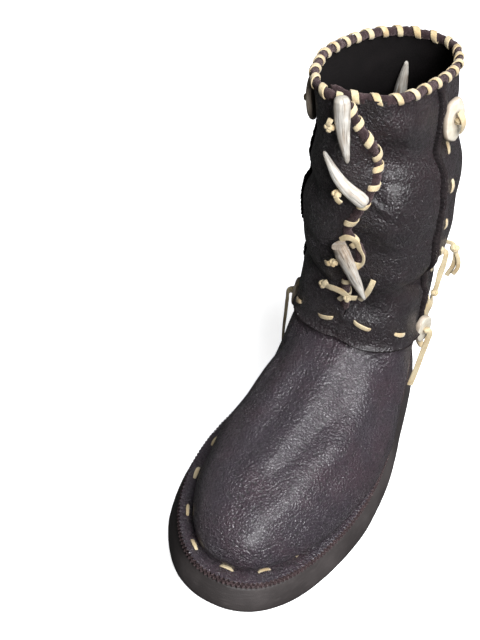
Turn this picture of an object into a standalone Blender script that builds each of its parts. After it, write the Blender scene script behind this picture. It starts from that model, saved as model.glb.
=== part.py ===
"""Laced leather moccasin boot for the left foot, closed by three antler-tip toggles.

Metres, +Z up. The toe points to -Y, the lateral (outer) side is +X. The origin is on the ground
plane, half way along the upper's feather line, the line where the upper meets the sole.
"""

import math

import bpy
import numpy as np
from mathutils.bvhtree import BVHTree

# Foot: sizes of the upper at the feather line
FOOT_LENGTH = 0.278
BALL_WIDTH = 0.0998
WAIST_WIDTH = 0.078
HEEL_WIDTH = 0.068
TOE_INSET = 0.0048  # how far the toe swings to the medial side
OUTLINE_ROUNDNESS = 2.34  # superellipse power of the footprint

# Leather
WALL = 0.002
LAYER = 0.0017  # step where one panel laps over another
FLANGE = 0.0095  # the upper's edge, turned out over the sole
GAP = 0.0003  # clearance between pieces that touch

# Sole
OUTSOLE_FOREFOOT = 0.0174
OUTSOLE_HEEL = 0.0225
OUTSOLE_FLARE = 0.006
OUTSOLE_EDGE = 0.0015  # rounding of the tread edge
MIDSOLE_THICKNESS = 0.0025
MIDSOLE_MARGIN = 0.0006
TOE_SPRING = 0.008
ARCH_RISE = 0.0025
INSOLE_THICKNESS = 0.003
INSOLE_CLEARANCE = 0.0015

# Upper: heights above the feather line
HEM_FRONT = 0.078
HEM_BACK = 0.048
COLLAR_FRONT = 0.257
COLLAR_BACK = 0.248
BULGE_HEIGHT = 0.020  # where the slack foot swells out most over its feather line
ARCH_POWER = 2.3  # fullness of the vamp's cross-section

# Collar rim: the edge doubled with a facing strip
RIM_HEIGHT = 0.009
RIM_SWELL = 0.0011

# Closure
SLIT_LEVEL = 1.09  # the flaps part a little above the hem
FLAP_LAP = 0.026  # how far the lateral flap runs under the medial one
FLAP_GAP = 0.0007
NOTCH = 0.003

# Antler pieces and thongs
BUTTON_WIDTH = 0.020
BUTTON_HEIGHT = 0.027
BUTTON_THICKNESS = 0.0036
BUTTON_HOLE = 0.0046
THONG = 0.0026  # diameter
KNOT = 0.0056
LEAF_WIDTH = 0.016
LEAF_LENGTH = 0.044
LEAF_THICKNESS = 0.0016
TAIL = 0.048  # how far the lower ties hang down

COLUMNS = (11, 12, 14, 14)  # grid columns between flap edge, lateral seam, back, medial seam, flap edge
FOOT_LEVELS = (0.05, 0.11, 0.18, 0.26, 0.35, 0.45, 0.56, 0.68, 0.8, 0.91)
SHAFT_ROWS = 13

# Ridge of the foot from toe to hem: y as a share of FOOT_LENGTH from the toe, height as a share of HEM_FRONT
RIDGE = (
    # along, height
    (0.000, 0.00),
    (0.006, 0.15),
    (0.028, 0.30),
    (0.075, 0.44),
    (0.155, 0.56),
    (0.260, 0.66),
    (0.370, 0.77),
    (0.460, 0.89),
    (0.536, 1.00),
)

# Half widths of the footprint as shares of its own ball, waist and heel widths, and the sway of its centre line
FOOTPRINT = (
    # along, ball share, waist share, heel share, toe inset share
    (0.00, 0.94, 0.00, 0.00, 0.56),
    (0.16, 1.01, 0.00, 0.00, 0.94),
    (0.34, 1.00, 0.00, 0.00, 0.44),
    (0.50, 0.50, 0.50, 0.00, -0.15),
    (0.64, 0.00, 1.00, 0.00, -0.05),
    (0.78, 0.00, 0.35, 0.65, -0.05),
    (1.00, 0.00, 0.00, 1.02, 0.20),
)

# How far the slack leather of the foot swells out over the feather line on each side
BULGE = (
    # along, medial, lateral, middle
    (0.00, 0.0030, 0.0060, 0.0040),
    (0.15, 0.0010, 0.0095, 0.0015),
    (0.35, 0.0010, 0.0110, 0.0010),
    (0.58, 0.0035, 0.0105, 0.0010),
    (0.80, 0.0040, 0.0060, 0.0010),
    (1.00, 0.0015, 0.0015, 0.0010),
)

# Shaft: shares of the way from hem to collar. y as shares of FOOT_LENGTH from the toe, widths, centre and skew
# in HEEL_WIDTHs, and how much of the hem's own shape is left. Skew moves the back towards the lateral side
SHAFT = (
    # share, front y, back y, width, centre x, skew, hem shape
    (0.00, 0.536, 1.010, 1.22, -0.030, 0.00, 1.00),
    (0.10, 0.537, 0.998, 1.22, -0.030, 0.00, 0.70),
    (0.28, 0.520, 0.975, 1.21, -0.035, 0.00, 0.20),
    (0.45, 0.500, 0.957, 1.28, -0.040, 0.00, 0.00),
    (0.62, 0.490, 0.943, 1.22, -0.050, 0.04, 0.00),
    (0.80, 0.492, 0.920, 0.95, -0.100, 0.08, 0.00),
    (1.00, 0.493, 0.898, 0.94, -0.190, 0.12, 0.00),
)

# Free edge of the medial flap: angle from the front, in degrees towards the lateral side
FLAP_EDGE = (
    # share of shaft height, angle
    (0.00, 3.0),
    (0.18, 3.0),
    (0.36, 7.0),
    (0.45, 13.0),
    (0.52, 2.0),
    (0.61, 10.0),
    (0.71, 24.0),
    (0.80, 31.0),
    (0.90, 17.0),
    (1.00, 5.0),
)

# Soft folds of the slack shaft: centre angle in degrees, share of shaft height, half lengths, slant, depth as wall thicknesses
FOLDS = (
    # angle, share, half angle, half share, slant, depth
    (55.0, 0.22, 48.0, 0.050, 0.10, -2.6),
    (62.0, 0.34, 50.0, 0.070, 0.06, 1.6),
    (60.0, 0.76, 46.0, 0.045, -0.05, -2.0),
    (70.0, 0.88, 60.0, 0.060, 0.00, 0.8),
    (-48.0, 0.26, 46.0, 0.050, -0.08, -2.4),
    (-55.0, 0.60, 48.0, 0.050, 0.08, -2.2),
    (180.0, 0.20, 60.0, 0.060, 0.00, -2.0),
    (185.0, 0.55, 65.0, 0.070, 0.05, -1.5),
)

# Antler tips: place of the middle, lean of the thick end from upright towards the lateral side, length, diameter of
# the thick end, bow, where its tie sits and on which side
TOGGLES = (
    # name, angle, level, lean, length, diameter, bow, tie share, tie side
    ("top", 5.0, 1.904, -14.0, 0.0405, 0.0092, 0.0010, 0.44, -1),
    ("middle", 2.0, 1.735, 130.0, 0.040, 0.0084, -0.0036, 0.38, 1),
    ("bottom", 8.0, 1.370, -28.0, 0.048, 0.0092, 0.0000, 0.26, -1),
)
TOGGLE_TAPER = (
    # share of length from the thick end, radius
    (0.00, 0.45),
    (0.03, 0.84),
    (0.10, 1.00),
    (0.28, 0.97),
    (0.50, 0.84),
    (0.72, 0.62),
    (0.90, 0.36),
    (1.00, 0.16),
)

INNER_TIP_LENGTH = 0.030
INNER_TIP_DIAMETER = 0.0085
INNER_TIP_PLACE = (203.0, 1.888)  # angle, level

# Antler slices sewn over the side seams
BUTTONS = (
    # name, angle, level, size
    ("lateral_upper", 92.0, 1.845, 1.0),
    ("medial_upper", -66.0, 1.870, 1.0),
    ("lateral_lower", 73.0, 1.010, 0.8),
    ("medial_lower", -63.0, 1.010, 0.8),
)

# Thongs that lie along the upper, as points of their centre lines, with knots at shares of their length
THONGS = (
    # name, points (angle, level, clearance in thong diameters), knots
    ("closing_loop", ((3.0, 1.545, 0.2), (15.0, 1.505, 0.3), (18.0, 1.455, 0.5), (14.0, 1.395, 0.3)), ()),
    ("slit_tie", ((-15.0, 1.250, 0.3), (-8.0, 1.250, 0.9), (-2.0, 1.225, 0.9), (3.0, 1.180, 0.3)), (0.2, 0.75)),
)

# Thongs that come out of the lateral seam and hang down
HANGING = (
    # name, angle, level, how far it stands out in thong diameters, drop, share of length with the knot
    ("side_tie", 93.0, 1.368, 2.2, 0.024, 0.45),
    ("side_strand", 91.5, 1.330, 1.0, 0.036, 0.92),
)

LATERAL_SEAM, MEDIAL_SEAM = math.radians(88), math.radians(288)


def table(rows, column):
    return np.array([row[column] for row in rows])


def smooth(x, xs, ys):
    """Value at x of a soft curve through a short table: cubic pieces with the neighbours' mean slopes."""
    x = np.clip(x, xs[0], xs[-1])
    slopes = np.gradient(ys, xs)
    i = np.clip(np.searchsorted(xs, x, side="right") - 1, 0, len(xs) - 2)
    span = xs[i + 1] - xs[i]
    t = (x - xs[i]) / span
    start = (1 + 2 * t) * (1 - t) ** 2 * ys[i] + t * (1 - t) ** 2 * span * slopes[i]
    end = t * t * (3 - 2 * t) * ys[i + 1] + t * t * (t - 1) * span * slopes[i + 1]
    return start + end


def ease(x):
    x = np.clip(x, 0, 1)
    return x * x * (3 - 2 * x)


def along_of(angle):
    """Share of the way from front to back of a superellipse's point at this angle."""
    c = np.cos(angle)
    return (1 - np.sign(c) * np.abs(c) ** (2 / OUTLINE_ROUNDNESS)) / 2


def y_at(along):
    return (along - 0.5) * FOOT_LENGTH


def foot_half(along):
    """Half width of the footprint at a share of its length, closed at both ends."""
    xs = table(FOOTPRINT, 0)
    halves = [BALL_WIDTH / 2, WAIST_WIDTH / 2, HEEL_WIDTH / 2]
    ys = sum(table(FOOTPRINT, 1 + i) * half for i, half in enumerate(halves))
    inside = np.clip(1 - np.abs(1 - 2 * along) ** OUTLINE_ROUNDNESS, 0, 1)
    return smooth(along, xs, ys) * inside ** (1 / OUTLINE_ROUNDNESS)


def foot_centre(along):
    return -TOE_INSET * smooth(along, table(FOOTPRINT, 0), table(FOOTPRINT, 4))


def footprint(angle, grow=0.0):
    """Outline of the upper at the feather line, moved out by grow along its own normal."""
    def plain(a):
        along = along_of(a)
        return np.stack([foot_centre(along) + np.sign(np.sin(a)) * foot_half(along), y_at(along)], -1)

    step = 0.02
    tangent = plain(angle + step) - plain(angle - step)
    tangent /= np.linalg.norm(tangent, axis=-1, keepdims=True)
    normal = np.stack([tangent[..., 1], -tangent[..., 0]], -1)
    return plain(angle) + grow * normal


def tread_height(y):
    """Underside of the outsole: flat at heel and forefoot, raised at the waist and at the toe."""
    along = y / FOOT_LENGTH + 0.5
    spring = TOE_SPRING * np.clip((0.17 - along) / 0.2, 0, 2) ** 1.6
    arch = ARCH_RISE * ease((along - 0.53) / 0.08) * ease((0.76 - along) / 0.08)
    return spring + arch


def outsole_top(y):
    along = y / FOOT_LENGTH + 0.5
    wedge = OUTSOLE_FOREFOOT + (OUTSOLE_HEEL - OUTSOLE_FOREFOOT) * ease((along - 0.35) / 0.4)
    spring = TOE_SPRING * np.clip((0.17 - along) / 0.2, 0, 2) ** 1.6
    return wedge + spring


def midsole_top(y):
    return outsole_top(y) + GAP + MIDSOLE_THICKNESS


def feather_height(y):
    """Top of the upper's flange."""
    return midsole_top(y) + GAP + WALL


def ridge(level):
    """Front point of the foot's section at this level: share of the length and height."""
    xs, ys = table(RIDGE, 0), table(RIDGE, 1)
    run = np.concatenate([[0], np.cumsum(np.hypot(np.diff(xs) * FOOT_LENGTH, np.diff(ys) * HEM_FRONT))])
    run = run / run[-1]
    return smooth(level, run, xs), smooth(level, run, ys) * HEM_FRONT


def ridge_height(along):
    """Height of the foot's ridge at a share of the length; behind the hem it climbs into the shaft."""
    levels = np.linspace(0, 1, 200)
    xs, ys = ridge(levels)
    behind = np.clip(along - xs[-1], 0, 1) * FOOT_LENGTH * 2.2
    return np.interp(along, xs, ys) + behind


def arch_share(along, height):
    """Half width of the vamp at a height, as a share of the footprint's."""
    t = np.clip(height / np.maximum(ridge_height(along), 1e-5), 0, 1)
    return (1 - t**ARCH_POWER) ** 0.5


def fold_depth(angle, level):
    total = 0.0
    for centre, share, half_angle, half_share, slant, depth in FOLDS:
        turn = np.degrees(np.angle(np.exp(1j * (angle - math.radians(centre)))))
        off = (level - 1) - share - slant * turn / 90
        total = total + depth * WALL * np.exp(-((turn / half_angle) ** 2) - (off / half_share) ** 2)
    return total * ease((level - 1.04) / 0.08) * ease((1.97 - level) / 0.06)


def skin(angle, level):
    """The upper's base surface. Angle 0 is the front and pi/2 the lateral side. Level runs from 0 at the feather
    line to 1 at the hem and 2 at the collar. Each section lies in a plane from a front point to a back point."""
    angle, level = np.broadcast_arrays(angle, level)
    share = np.clip(level - 1, 0, 1)
    foot = np.clip(level, 0, 1)
    ridge_x, ridge_h = ridge(foot)
    shares = table(SHAFT, 0)
    shaft = [smooth(share, shares, table(SHAFT, i)) for i in range(7)]
    heel_x = 1 + (SHAFT[0][2] - 1) * ease(foot)
    front_x = np.where(level < 1, ridge_x, shaft[1])
    back_x = np.where(level < 1, heel_x, shaft[2])
    front_h = np.where(level < 1, ridge_h, HEM_FRONT + (COLLAR_FRONT - HEM_FRONT) * share)
    back_h = np.where(level < 1, HEM_BACK * foot, HEM_BACK + (COLLAR_BACK - HEM_BACK) * share)
    along = along_of(angle)
    side = np.sign(np.sin(angle))
    # The foot's own shape, which above the hem stays that of the hem section
    foot_x = ridge_x + (heel_x - ridge_x) * along
    foot_h = ridge_h + (HEM_BACK * foot - ridge_h) * along
    rear = np.clip((foot_x - 0.8) / (heel_x - 0.8), 0, None) * 0.2 + 0.8
    plan_x = np.where(foot_x > 0.8, rear, foot_x)
    half = foot_half(plan_x) * arch_share(plan_x, foot_h)
    tube = HEEL_WIDTH / 2 * shaft[3] * np.abs(np.sin(angle)) ** (2 / 2.1)
    keep = np.where(level < 1, 1.0, np.clip(shaft[6], 0, 1))
    half = half * keep + tube * (1 - keep)
    centre = (shaft[4] + shaft[5] * (2 * along - 1)) * HEEL_WIDTH
    x = foot_centre(plan_x) * keep + centre * (1 - keep) + side * half
    y = y_at(front_x + (back_x - front_x) * along)
    height = front_h + (back_h - front_h) * along
    z = feather_height(y_at(foot_x)) + height
    spots = table(BULGE, 0)
    bulge = np.where(side < 0, smooth(plan_x, spots, table(BULGE, 1)), smooth(plan_x, spots, table(BULGE, 2)))
    middle = smooth(plan_x, spots, table(BULGE, 3))
    bulge = middle + (bulge - middle) * np.abs(np.sin(angle)) ** 0.7
    swell = keep * bulge * ease(foot_h / BULGE_HEIGHT)
    out = footprint(angle, 1.0) - footprint(angle)
    return np.stack([x + swell * out[..., 0], y + swell * out[..., 1], z], -1)


def normals_of(angle, level):
    """Outward unit normals of the skin, from small steps both ways."""
    step = 0.01
    turn = skin(angle + step, level) - skin(angle - step, level)
    low, high = np.clip(level - step, 0.001, 2), np.clip(level + step, 0.001, 2)
    rise = skin(angle, high) - skin(angle, low)
    normal = np.cross(turn, rise)
    return normal / np.linalg.norm(normal, axis=-1, keepdims=True)


def upper_point(angle, level, out=0.0):
    """Point on the upper with its folds, moved out from the base surface, and the outward direction there."""
    normal = normals_of(angle, level)
    return skin(angle, level) + normal * (fold_depth(angle, level) + out)[..., None], normal


def flap_edge(level):
    share = np.clip(level - 1, 0, 1)
    return np.radians(smooth(share, table(FLAP_EDGE, 0), table(FLAP_EDGE, 1)))


def column_angles(level):
    """Angles of the grid's columns at a level, with a pair of columns at each side seam."""
    edge = flap_edge(level)
    stops = [edge, LATERAL_SEAM, math.pi, MEDIAL_SEAM, edge + 2 * math.pi]
    angles = []
    for i, count in enumerate(COLUMNS):
        angles.append(np.linspace(stops[i], stops[i + 1], count, endpoint=False))
    angles.append([stops[-1]])
    angles = np.concatenate(angles)
    step = 0.008
    lateral, medial = COLUMNS[0], sum(COLUMNS[:3])
    return np.insert(angles, [lateral, medial + 1], [LATERAL_SEAM - step, MEDIAL_SEAM + step])


def new_object(name, points, faces, material, parent=None):
    mesh = bpy.data.meshes.new(name)
    mesh.from_pydata([tuple(p) for p in points], [], [tuple(int(i) for i in f) for f in faces])
    mesh.validate()
    mesh.materials.append(material)
    mesh.shade_smooth()
    obj = bpy.data.objects.new(name, mesh)
    COLLECTION.objects.link(obj)
    return obj


def thick_sheet(name, outer, inner, quads, material):
    """Closed solid between two sheets with the same faces: both sheets, and a wall along every free edge."""
    count = len(outer)
    uses = {}
    for quad in quads:
        for a, b in zip(quad, np.roll(quad, -1)):
            uses[(a, b)] = uses.get((a, b), 0) + 1
    free = [(a, b) for (a, b) in uses if (b, a) not in uses]
    faces = [list(q) for q in quads]
    faces += [[i + count for i in reversed(q)] for q in quads]
    faces += [[b, a, a + count, b + count] for a, b in free]
    return new_object(name, np.concatenate([outer, inner]), faces, material)


def upper_levels():
    """Levels of the grid's rows, with the hem as a pair and the collar rim as a step."""
    rim = RIM_HEIGHT / (COLLAR_FRONT - HEM_FRONT)
    shaft = np.linspace(1.0, 2.0 - rim, SHAFT_ROWS)[1:]
    shaft[0] = SLIT_LEVEL
    return np.concatenate([[0.0], FOOT_LEVELS, [0.994, 1.0], shaft, [2 - rim * 0.96, 2 - rim * 0.15, 2.0]])


def build_upper(material):
    levels = upper_levels()
    angles = np.stack([column_angles(level) for level in levels])
    rows, columns = angles.shape
    grid_level = np.repeat(levels[:, None], columns, axis=1)
    lateral, medial = COLUMNS[0] + 1, sum(COLUMNS[:3]) + 2
    index = np.arange(columns)
    is_back = (index >= lateral) & (index < medial)
    out = np.where(grid_level >= 1.0, LAYER, 0.0)
    out += np.where(is_back[None, :] & (grid_level >= 1.0), LAYER, 0.0)
    # Above each lap the inner face follows, so the wall is one layer thick again past the overlap
    past_hem = ease((grid_level - 1.03) / 0.08)
    past_seam = (index > lateral + 1) & (index < medial - 2)
    inward = WALL - LAYER * past_hem - LAYER * past_hem * past_seam[None, :]
    rim = levels > 2 - RIM_HEIGHT / (COLLAR_FRONT - HEM_FRONT) * 0.97
    out[rim] += RIM_SWELL
    inward[rim] += RIM_SWELL
    out[-1] -= RIM_SWELL
    inward[-1] -= RIM_SWELL
    # The lateral flap dives under the medial one beside the slit
    slit = int(np.argmin(np.abs(levels - SLIT_LEVEL)))
    under = LAYER + WALL + RIM_SWELL * 2 + FLAP_GAP
    dive = np.where(np.arange(rows) > slit, 1.0, 0.0)[:, None] * ease(1 - index / 5)[None, :]
    radius = HEEL_WIDTH / 2 * 1.3
    angles = angles + dive * NOTCH / radius
    base, normal = upper_point(angles, grid_level)
    outer = base + normal * (out - dive * under)[..., None]
    inner = base - normal * (inward + dive * under)[..., None]
    # The flange: from its outer edge on the sole to the feather line, ahead of the first row
    first = angles[0]
    edge = footprint(first, FLANGE)
    edge_z = feather_height(edge[:, 1])
    feather = footprint(first)
    inside = footprint(first, -WALL)
    outer[0] = np.c_[feather, feather_height(feather[:, 1])]
    inner[0] = np.c_[inside, feather_height(inside[:, 1]) - WALL]
    outer = np.concatenate([np.c_[edge, edge_z][None], outer])
    inner = np.concatenate([np.c_[edge, edge_z - WALL][None], inner])
    slit += 1
    rows += 1
    # The strip of the lateral flap that lies under the medial flap
    lap_columns = 4
    flap_level = levels[slit:]
    lap = FLAP_LAP / radius * np.arange(lap_columns, 0, -1) / lap_columns
    strip_angle = angles[slit:, :1] - lap[None, :]
    strip_level = np.repeat(flap_level[:, None], lap_columns, axis=1)
    strip_base, strip_normal = upper_point(strip_angle, strip_level)
    strip_out = (out - under)[slit:, :1]
    strip_in = (inward + under)[slit:, :1]
    strip_outer = strip_base + strip_normal * strip_out[..., None]
    strip_inner = strip_base - strip_normal * strip_in[..., None]
    # Vertex numbers: the last column is the first one up to the slit
    number = np.arange(rows * columns).reshape(rows, columns)
    number[: slit + 1, -1] = number[: slit + 1, 0]
    strip_number = rows * columns + np.arange(strip_base.shape[0] * lap_columns).reshape(-1, lap_columns)
    quads = []
    for r in range(rows - 1):
        for c in range(columns - 1):
            quads.append([number[r, c], number[r, c + 1], number[r + 1, c + 1], number[r + 1, c]])
    strip_number = np.c_[strip_number, number[slit + 1 :, 0]]
    for r in range(len(strip_number) - 1):
        for c in range(lap_columns):
            quads.append(
                [strip_number[r, c], strip_number[r, c + 1], strip_number[r + 1, c + 1], strip_number[r + 1, c]]
            )
    outer = np.concatenate([outer.reshape(-1, 3), strip_outer.reshape(-1, 3)])
    inner = np.concatenate([inner.reshape(-1, 3), strip_inner.reshape(-1, 3)])
    used = np.unique(np.array(quads))
    remap = np.full(len(outer), -1)
    remap[used] = np.arange(len(used))
    quads = remap[np.array(quads)]
    return thick_sheet("upper", outer[used], inner[used], quads.tolist(), material)


def slab(name, rings, material):
    """Closed solid through level rings of the same count, each capped by strips across the foot."""
    count = len(rings[0])
    faces = []
    for k in range(len(rings) - 1):
        for i in range(count):
            j = (i + 1) % count
            faces.append([k * count + i, k * count + j, (k + 1) * count + j, (k + 1) * count + i])
    top = (len(rings) - 1) * count
    half = count // 2
    for i in range(half):
        a, b = i, i + 1
        c, d = (count - b) % count, (count - a) % count
        faces.append(list(dict.fromkeys([a, b, c, d]))[::-1])
        faces.append([top + n for n in dict.fromkeys([a, b, c, d])])
    return new_object(name, np.concatenate(rings), faces, material)


def level_ring(angle, grow, height):
    plan = footprint(angle, grow)
    return np.c_[plan, height(plan[:, 1])]


def build_sole(rubber, leather, lining):
    angle = np.linspace(0, 2 * math.pi, 72, endpoint=False)
    bottom = FLANGE + OUTSOLE_FLARE
    slab(
        "outsole",
        [
            level_ring(angle, bottom - OUTSOLE_EDGE, tread_height),
            level_ring(angle, bottom, lambda y: tread_height(y) + OUTSOLE_EDGE),
            level_ring(angle, FLANGE + 0.0006, outsole_top),
        ],
        rubber,
    )
    slab(
        "midsole",
        [
            level_ring(angle, FLANGE - MIDSOLE_MARGIN, lambda y: outsole_top(y) + GAP),
            level_ring(angle, FLANGE - MIDSOLE_MARGIN, midsole_top),
        ],
        leather,
    )
    inset = -WALL - INSOLE_CLEARANCE
    slab(
        "insole",
        [
            level_ring(angle, inset, lambda y: midsole_top(y) + GAP),
            level_ring(angle, inset, lambda y: midsole_top(y) + GAP + INSOLE_THICKNESS),
        ],
        lining,
    )


def surface_frame(angle, level, side=1):
    """Point on the upper's outer face (side 1) or inner face (side -1) with its directions out, around and up."""
    at, up_to = np.array([math.radians(angle)]), np.array([level])
    point, out = upper_point(at, up_to)
    around = upper_point(at + 0.02, up_to)[0][0] - point[0]
    around -= out[0] * (around @ out[0])
    around /= np.linalg.norm(around)
    up = np.cross(out[0], around)
    up *= np.sign(up[2])
    on_back = LATERAL_SEAM <= at[0] % (2 * math.pi) <= MEDIAL_SEAM
    skin_out = LAYER * (level >= 1) * (2 if on_back else 1)
    return point[0] + out[0] * (skin_out if side > 0 else -WALL), out[0] * side, around, up


def clearance(tree, points, radii):
    """Smallest distance between a row of balls and the upper."""
    return min(tree.find_nearest(tuple(p))[3] - r for p, r in zip(points, radii))


def seat(tree, points, radii, out):
    """Points moved straight out until the row of balls clears the upper by the gap, and no more."""
    lift = 0.02
    for _ in range(30):
        spare = clearance(tree, points + out * lift, radii) - GAP
        lift -= spare
        if abs(spare) < 0.00002:
            break
    return points + out * lift


def soft_path(points, count):
    """Even points along a soft curve through a few."""
    points = np.array(points)
    run = np.concatenate([[0], np.cumsum(np.linalg.norm(np.diff(points, axis=0), axis=1))])
    at = np.linspace(0, run[-1], count)
    return np.stack([smooth(at, run, points[:, i]) for i in range(3)], -1)


def tube(name, points, radii, material):
    """Cord or thong: a round tube along the points, wider where it is knotted."""
    curve = bpy.data.curves.new(name, "CURVE")
    curve.dimensions = "3D"
    curve.bevel_depth = 1.0
    curve.bevel_resolution = 2
    curve.use_fill_caps = True
    spline = curve.splines.new("POLY")
    spline.points.add(len(points) - 1)
    for spot, point, radius in zip(spline.points, points, radii):
        spot.co = (*point, 1)
        spot.radius = radius
    curve.materials.append(material)
    obj = bpy.data.objects.new(name, curve)
    COLLECTION.objects.link(obj)
    return obj


def build_toggles(tree, antler, buckskin):
    for name, angle, level, lean, length, diameter, bow, tie_share, tie_side in TOGGLES:
        middle, out, around, up = surface_frame(angle, level)
        lean = math.radians(lean)
        head = up * math.cos(lean) + around * math.sin(lean)
        across = around * math.cos(lean) - up * math.sin(lean)
        shares = np.array([0, 0.03, 0.1, 0.2, 0.32, 0.44, 0.56, 0.68, 0.8, 0.9, 1.0])
        radii = smooth(shares, table(TOGGLE_TAPER, 0), table(TOGGLE_TAPER, 1)) * diameter / 2
        line = (0.5 - shares)[:, None] * length * head + (4 * (shares - 0.5) ** 2 - 1)[:, None] * bow * across
        centres = seat(tree, middle + line, radii, out)
        tube("toggle_" + name, centres, radii, antler)
        # The tie: a knot beside the antler and its shank down to the flap
        radius = np.interp(tie_share, shares, radii)
        centre = np.array([np.interp(tie_share, shares, centres[:, i]) for i in range(3)])
        knot = centre + across * tie_side * (radius + KNOT / 2)
        depth = tree.ray_cast(tuple(knot), tuple(-out))[3]
        steps = np.array([-0.9, -0.55, 0.0, 0.5]) * KNOT / 2
        points = knot - out * np.append(steps, depth)[:, None]
        radii = np.array([0.35, 0.85, 1.0, 0.75, 0.2]) * KNOT / 2
        tube("toggle_tie_" + name, seat(tree, points, radii, out), radii, buckskin)


def build_inner_tip(tree, antler):
    """Small antler tip that hangs against the inside of the shaft at the back, point up."""
    top, out, _, _ = surface_frame(*INNER_TIP_PLACE, side=-1)
    shares = np.linspace(0, 1, 8)
    radii = smooth(1 - shares, table(TOGGLE_TAPER, 0), table(TOGGLE_TAPER, 1)) * INNER_TIP_DIAMETER / 2
    line = top - shares[:, None] * np.array([0, 0, INNER_TIP_LENGTH])
    tube("inner_tip", seat(tree, line, radii, out), radii, antler)


def build_buttons(tree, antler, buckskin):
    count = 20
    turn = np.linspace(0, 2 * math.pi, count, endpoint=False)
    for name, angle, level, size in BUTTONS:
        middle, out, around, up = surface_frame(angle, level)
        ring = np.cos(turn)[:, None] * around, np.sin(turn)[:, None] * up
        rim = (ring[0] * BUTTON_WIDTH + ring[1] * BUTTON_HEIGHT) * size / 2
        hole = (ring[0] + ring[1]) * BUTTON_HOLE / 2
        spread = np.concatenate([rim * 0.93, rim * 0.7, rim * 0.45, hole])
        centre = seat(tree, middle + spread, np.zeros(len(spread)), out).mean(axis=0)
        top = out * BUTTON_THICKNESS
        rings = [rim * 0.93, rim + top * 0.3, rim + top * 0.7, rim * 0.93 + top, hole + top, hole]
        points = np.concatenate([centre + r for r in rings])
        faces = []
        for k in range(len(rings)):
            m = (k + 1) % len(rings)
            for i in range(count):
                j = (i + 1) % count
                faces.append([k * count + i, k * count + j, m * count + j, m * count + i])
        if np.cross(around, up) @ out < 0:
            faces = [face[::-1] for face in faces]
        new_object("button_" + name, points, faces, antler)
        # The thong comes up through the hole into a knot, and on the lower buttons its end hangs down
        face = centre + top
        start = centre - out * (tree.find_nearest(tuple(centre))[3] - GAP) * 0.5
        knot = face + out * (KNOT / 2 + GAP)
        points = [start, face - top * 0.4, face, knot - out * KNOT * 0.28, knot]
        radii = [THONG / 2, THONG / 2, THONG / 2, KNOT * 0.42, KNOT / 2]
        if name.endswith("upper"):
            points += [knot + out * KNOT * 0.3, knot + out * KNOT * 0.46]
            radii += [KNOT * 0.42, KNOT * 0.2]
            tube("button_tie_" + name, np.array(points), radii, buckskin)
            continue
        drops = np.linspace(0.08, 1, 8) * TAIL
        points += list(hang(tree, knot, out, drops, THONG / 2 + GAP * 2))
        tube("button_tie_" + name, np.array(points), radii + [THONG / 2] * len(drops), buckskin)


def build_thongs(tree, buckskin):
    for name, spots, knots in THONGS:
        points = []
        for angle, level, clear in spots:
            spot, out, _, _ = surface_frame(angle, level)
            points.append(spot + out * (THONG / 2 + GAP + THONG * clear))
        length = np.linalg.norm(np.diff(np.array(points), axis=0), axis=1).sum()
        count = max(6, int(length / THONG * 0.7))
        path = soft_path(points, count)
        shares = np.linspace(0, 1, count)
        radii = np.full(count, THONG / 2)
        for knot in knots:
            near = np.exp(-(((shares - knot) * length / (KNOT * 0.45)) ** 2))
            radii = np.maximum(radii, near * KNOT / 2)
        middle = surface_frame(*spots[len(spots) // 2][:2])[1]
        path = seat(tree, path, radii, middle)
        tube(name, path, radii, buckskin)


def hang(tree, top, out, drops, clear):
    """Points straight below top, moved out where the upper swells into their way."""
    level_out = np.array([out[0], out[1], 0.0])
    level_out /= np.linalg.norm(level_out)
    points = []
    for drop in drops:
        point = top - np.array([0, 0, drop])
        hit = tree.ray_cast(tuple(point + level_out * 0.06), tuple(-level_out), 0.12)[0]
        push = 0.0 if hit is None else (np.array(hit) - point) @ level_out + clear
        points.append(point + level_out * max(0.0, push))
    return np.array(points)


def build_hanging(tree, buckskin):
    """The side thongs. Returns the lower end of the last one."""
    for name, angle, level, reach, drop, knot in HANGING:
        spot, out, _, _ = surface_frame(angle, level)
        spot = np.array(tree.ray_cast(tuple(spot + out * THONG), tuple(-out))[0])
        shank = GAP * 2 + THONG * np.array([0.0, 0.5, 1.0]) * reach
        start = spot + out * shank[:, None]
        drops = np.linspace(0.12, 1, 12) * drop
        path = np.concatenate([start, hang(tree, start[-1], out, drops, THONG / 2 + GAP * 3)])
        run = np.concatenate([[0], np.cumsum(np.linalg.norm(np.diff(path, axis=0), axis=1))])
        near = np.exp(-(((run - knot * run[-1]) / (KNOT * 0.45)) ** 2))
        radii = np.maximum(THONG / 2, near * KNOT / 2)
        if clearance(tree, path[2:], radii[2:]) < GAP:
            path[2:] = seat(tree, path[2:], radii[2:], out)
        tube(name, path, radii, buckskin)
    return path[-1], out


def build_leaf(tree, top, out, material):
    """Folded leather leaf that hangs from the side strand."""
    rows, columns = 8, 5
    around = np.cross([0.0, 0.0, 1.0], out)
    around /= np.linalg.norm(around)
    level_out = np.cross(around, [0.0, 0.0, 1.0])
    inner = []
    for r in range(rows):
        share = r / (rows - 1)
        width = LEAF_WIDTH * math.sin(math.pi * (0.12 + 0.8 * share)) ** 0.6
        for c in range(columns):
            spot = top + around * (c / (columns - 1) - 0.5) * width
            drop = KNOT / 2 + THONG + LEAF_LENGTH * share
            cup = 0.003 * math.sin(math.pi * c / (columns - 1))
            inner.append(hang(tree, spot - level_out * 0.004, level_out, [drop], GAP * 2 + cup)[0])
    inner = np.array(inner)
    inner = seat(tree, inner, np.full(len(inner), GAP), level_out)
    quads = []
    for r in range(rows - 1):
        for c in range(columns - 1):
            a = r * columns + c
            quads.append([a, a + columns, a + columns + 1, a + 1])
    thick_sheet("leaf", inner + level_out * LEAF_THICKNESS, inner, quads, material)


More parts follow.
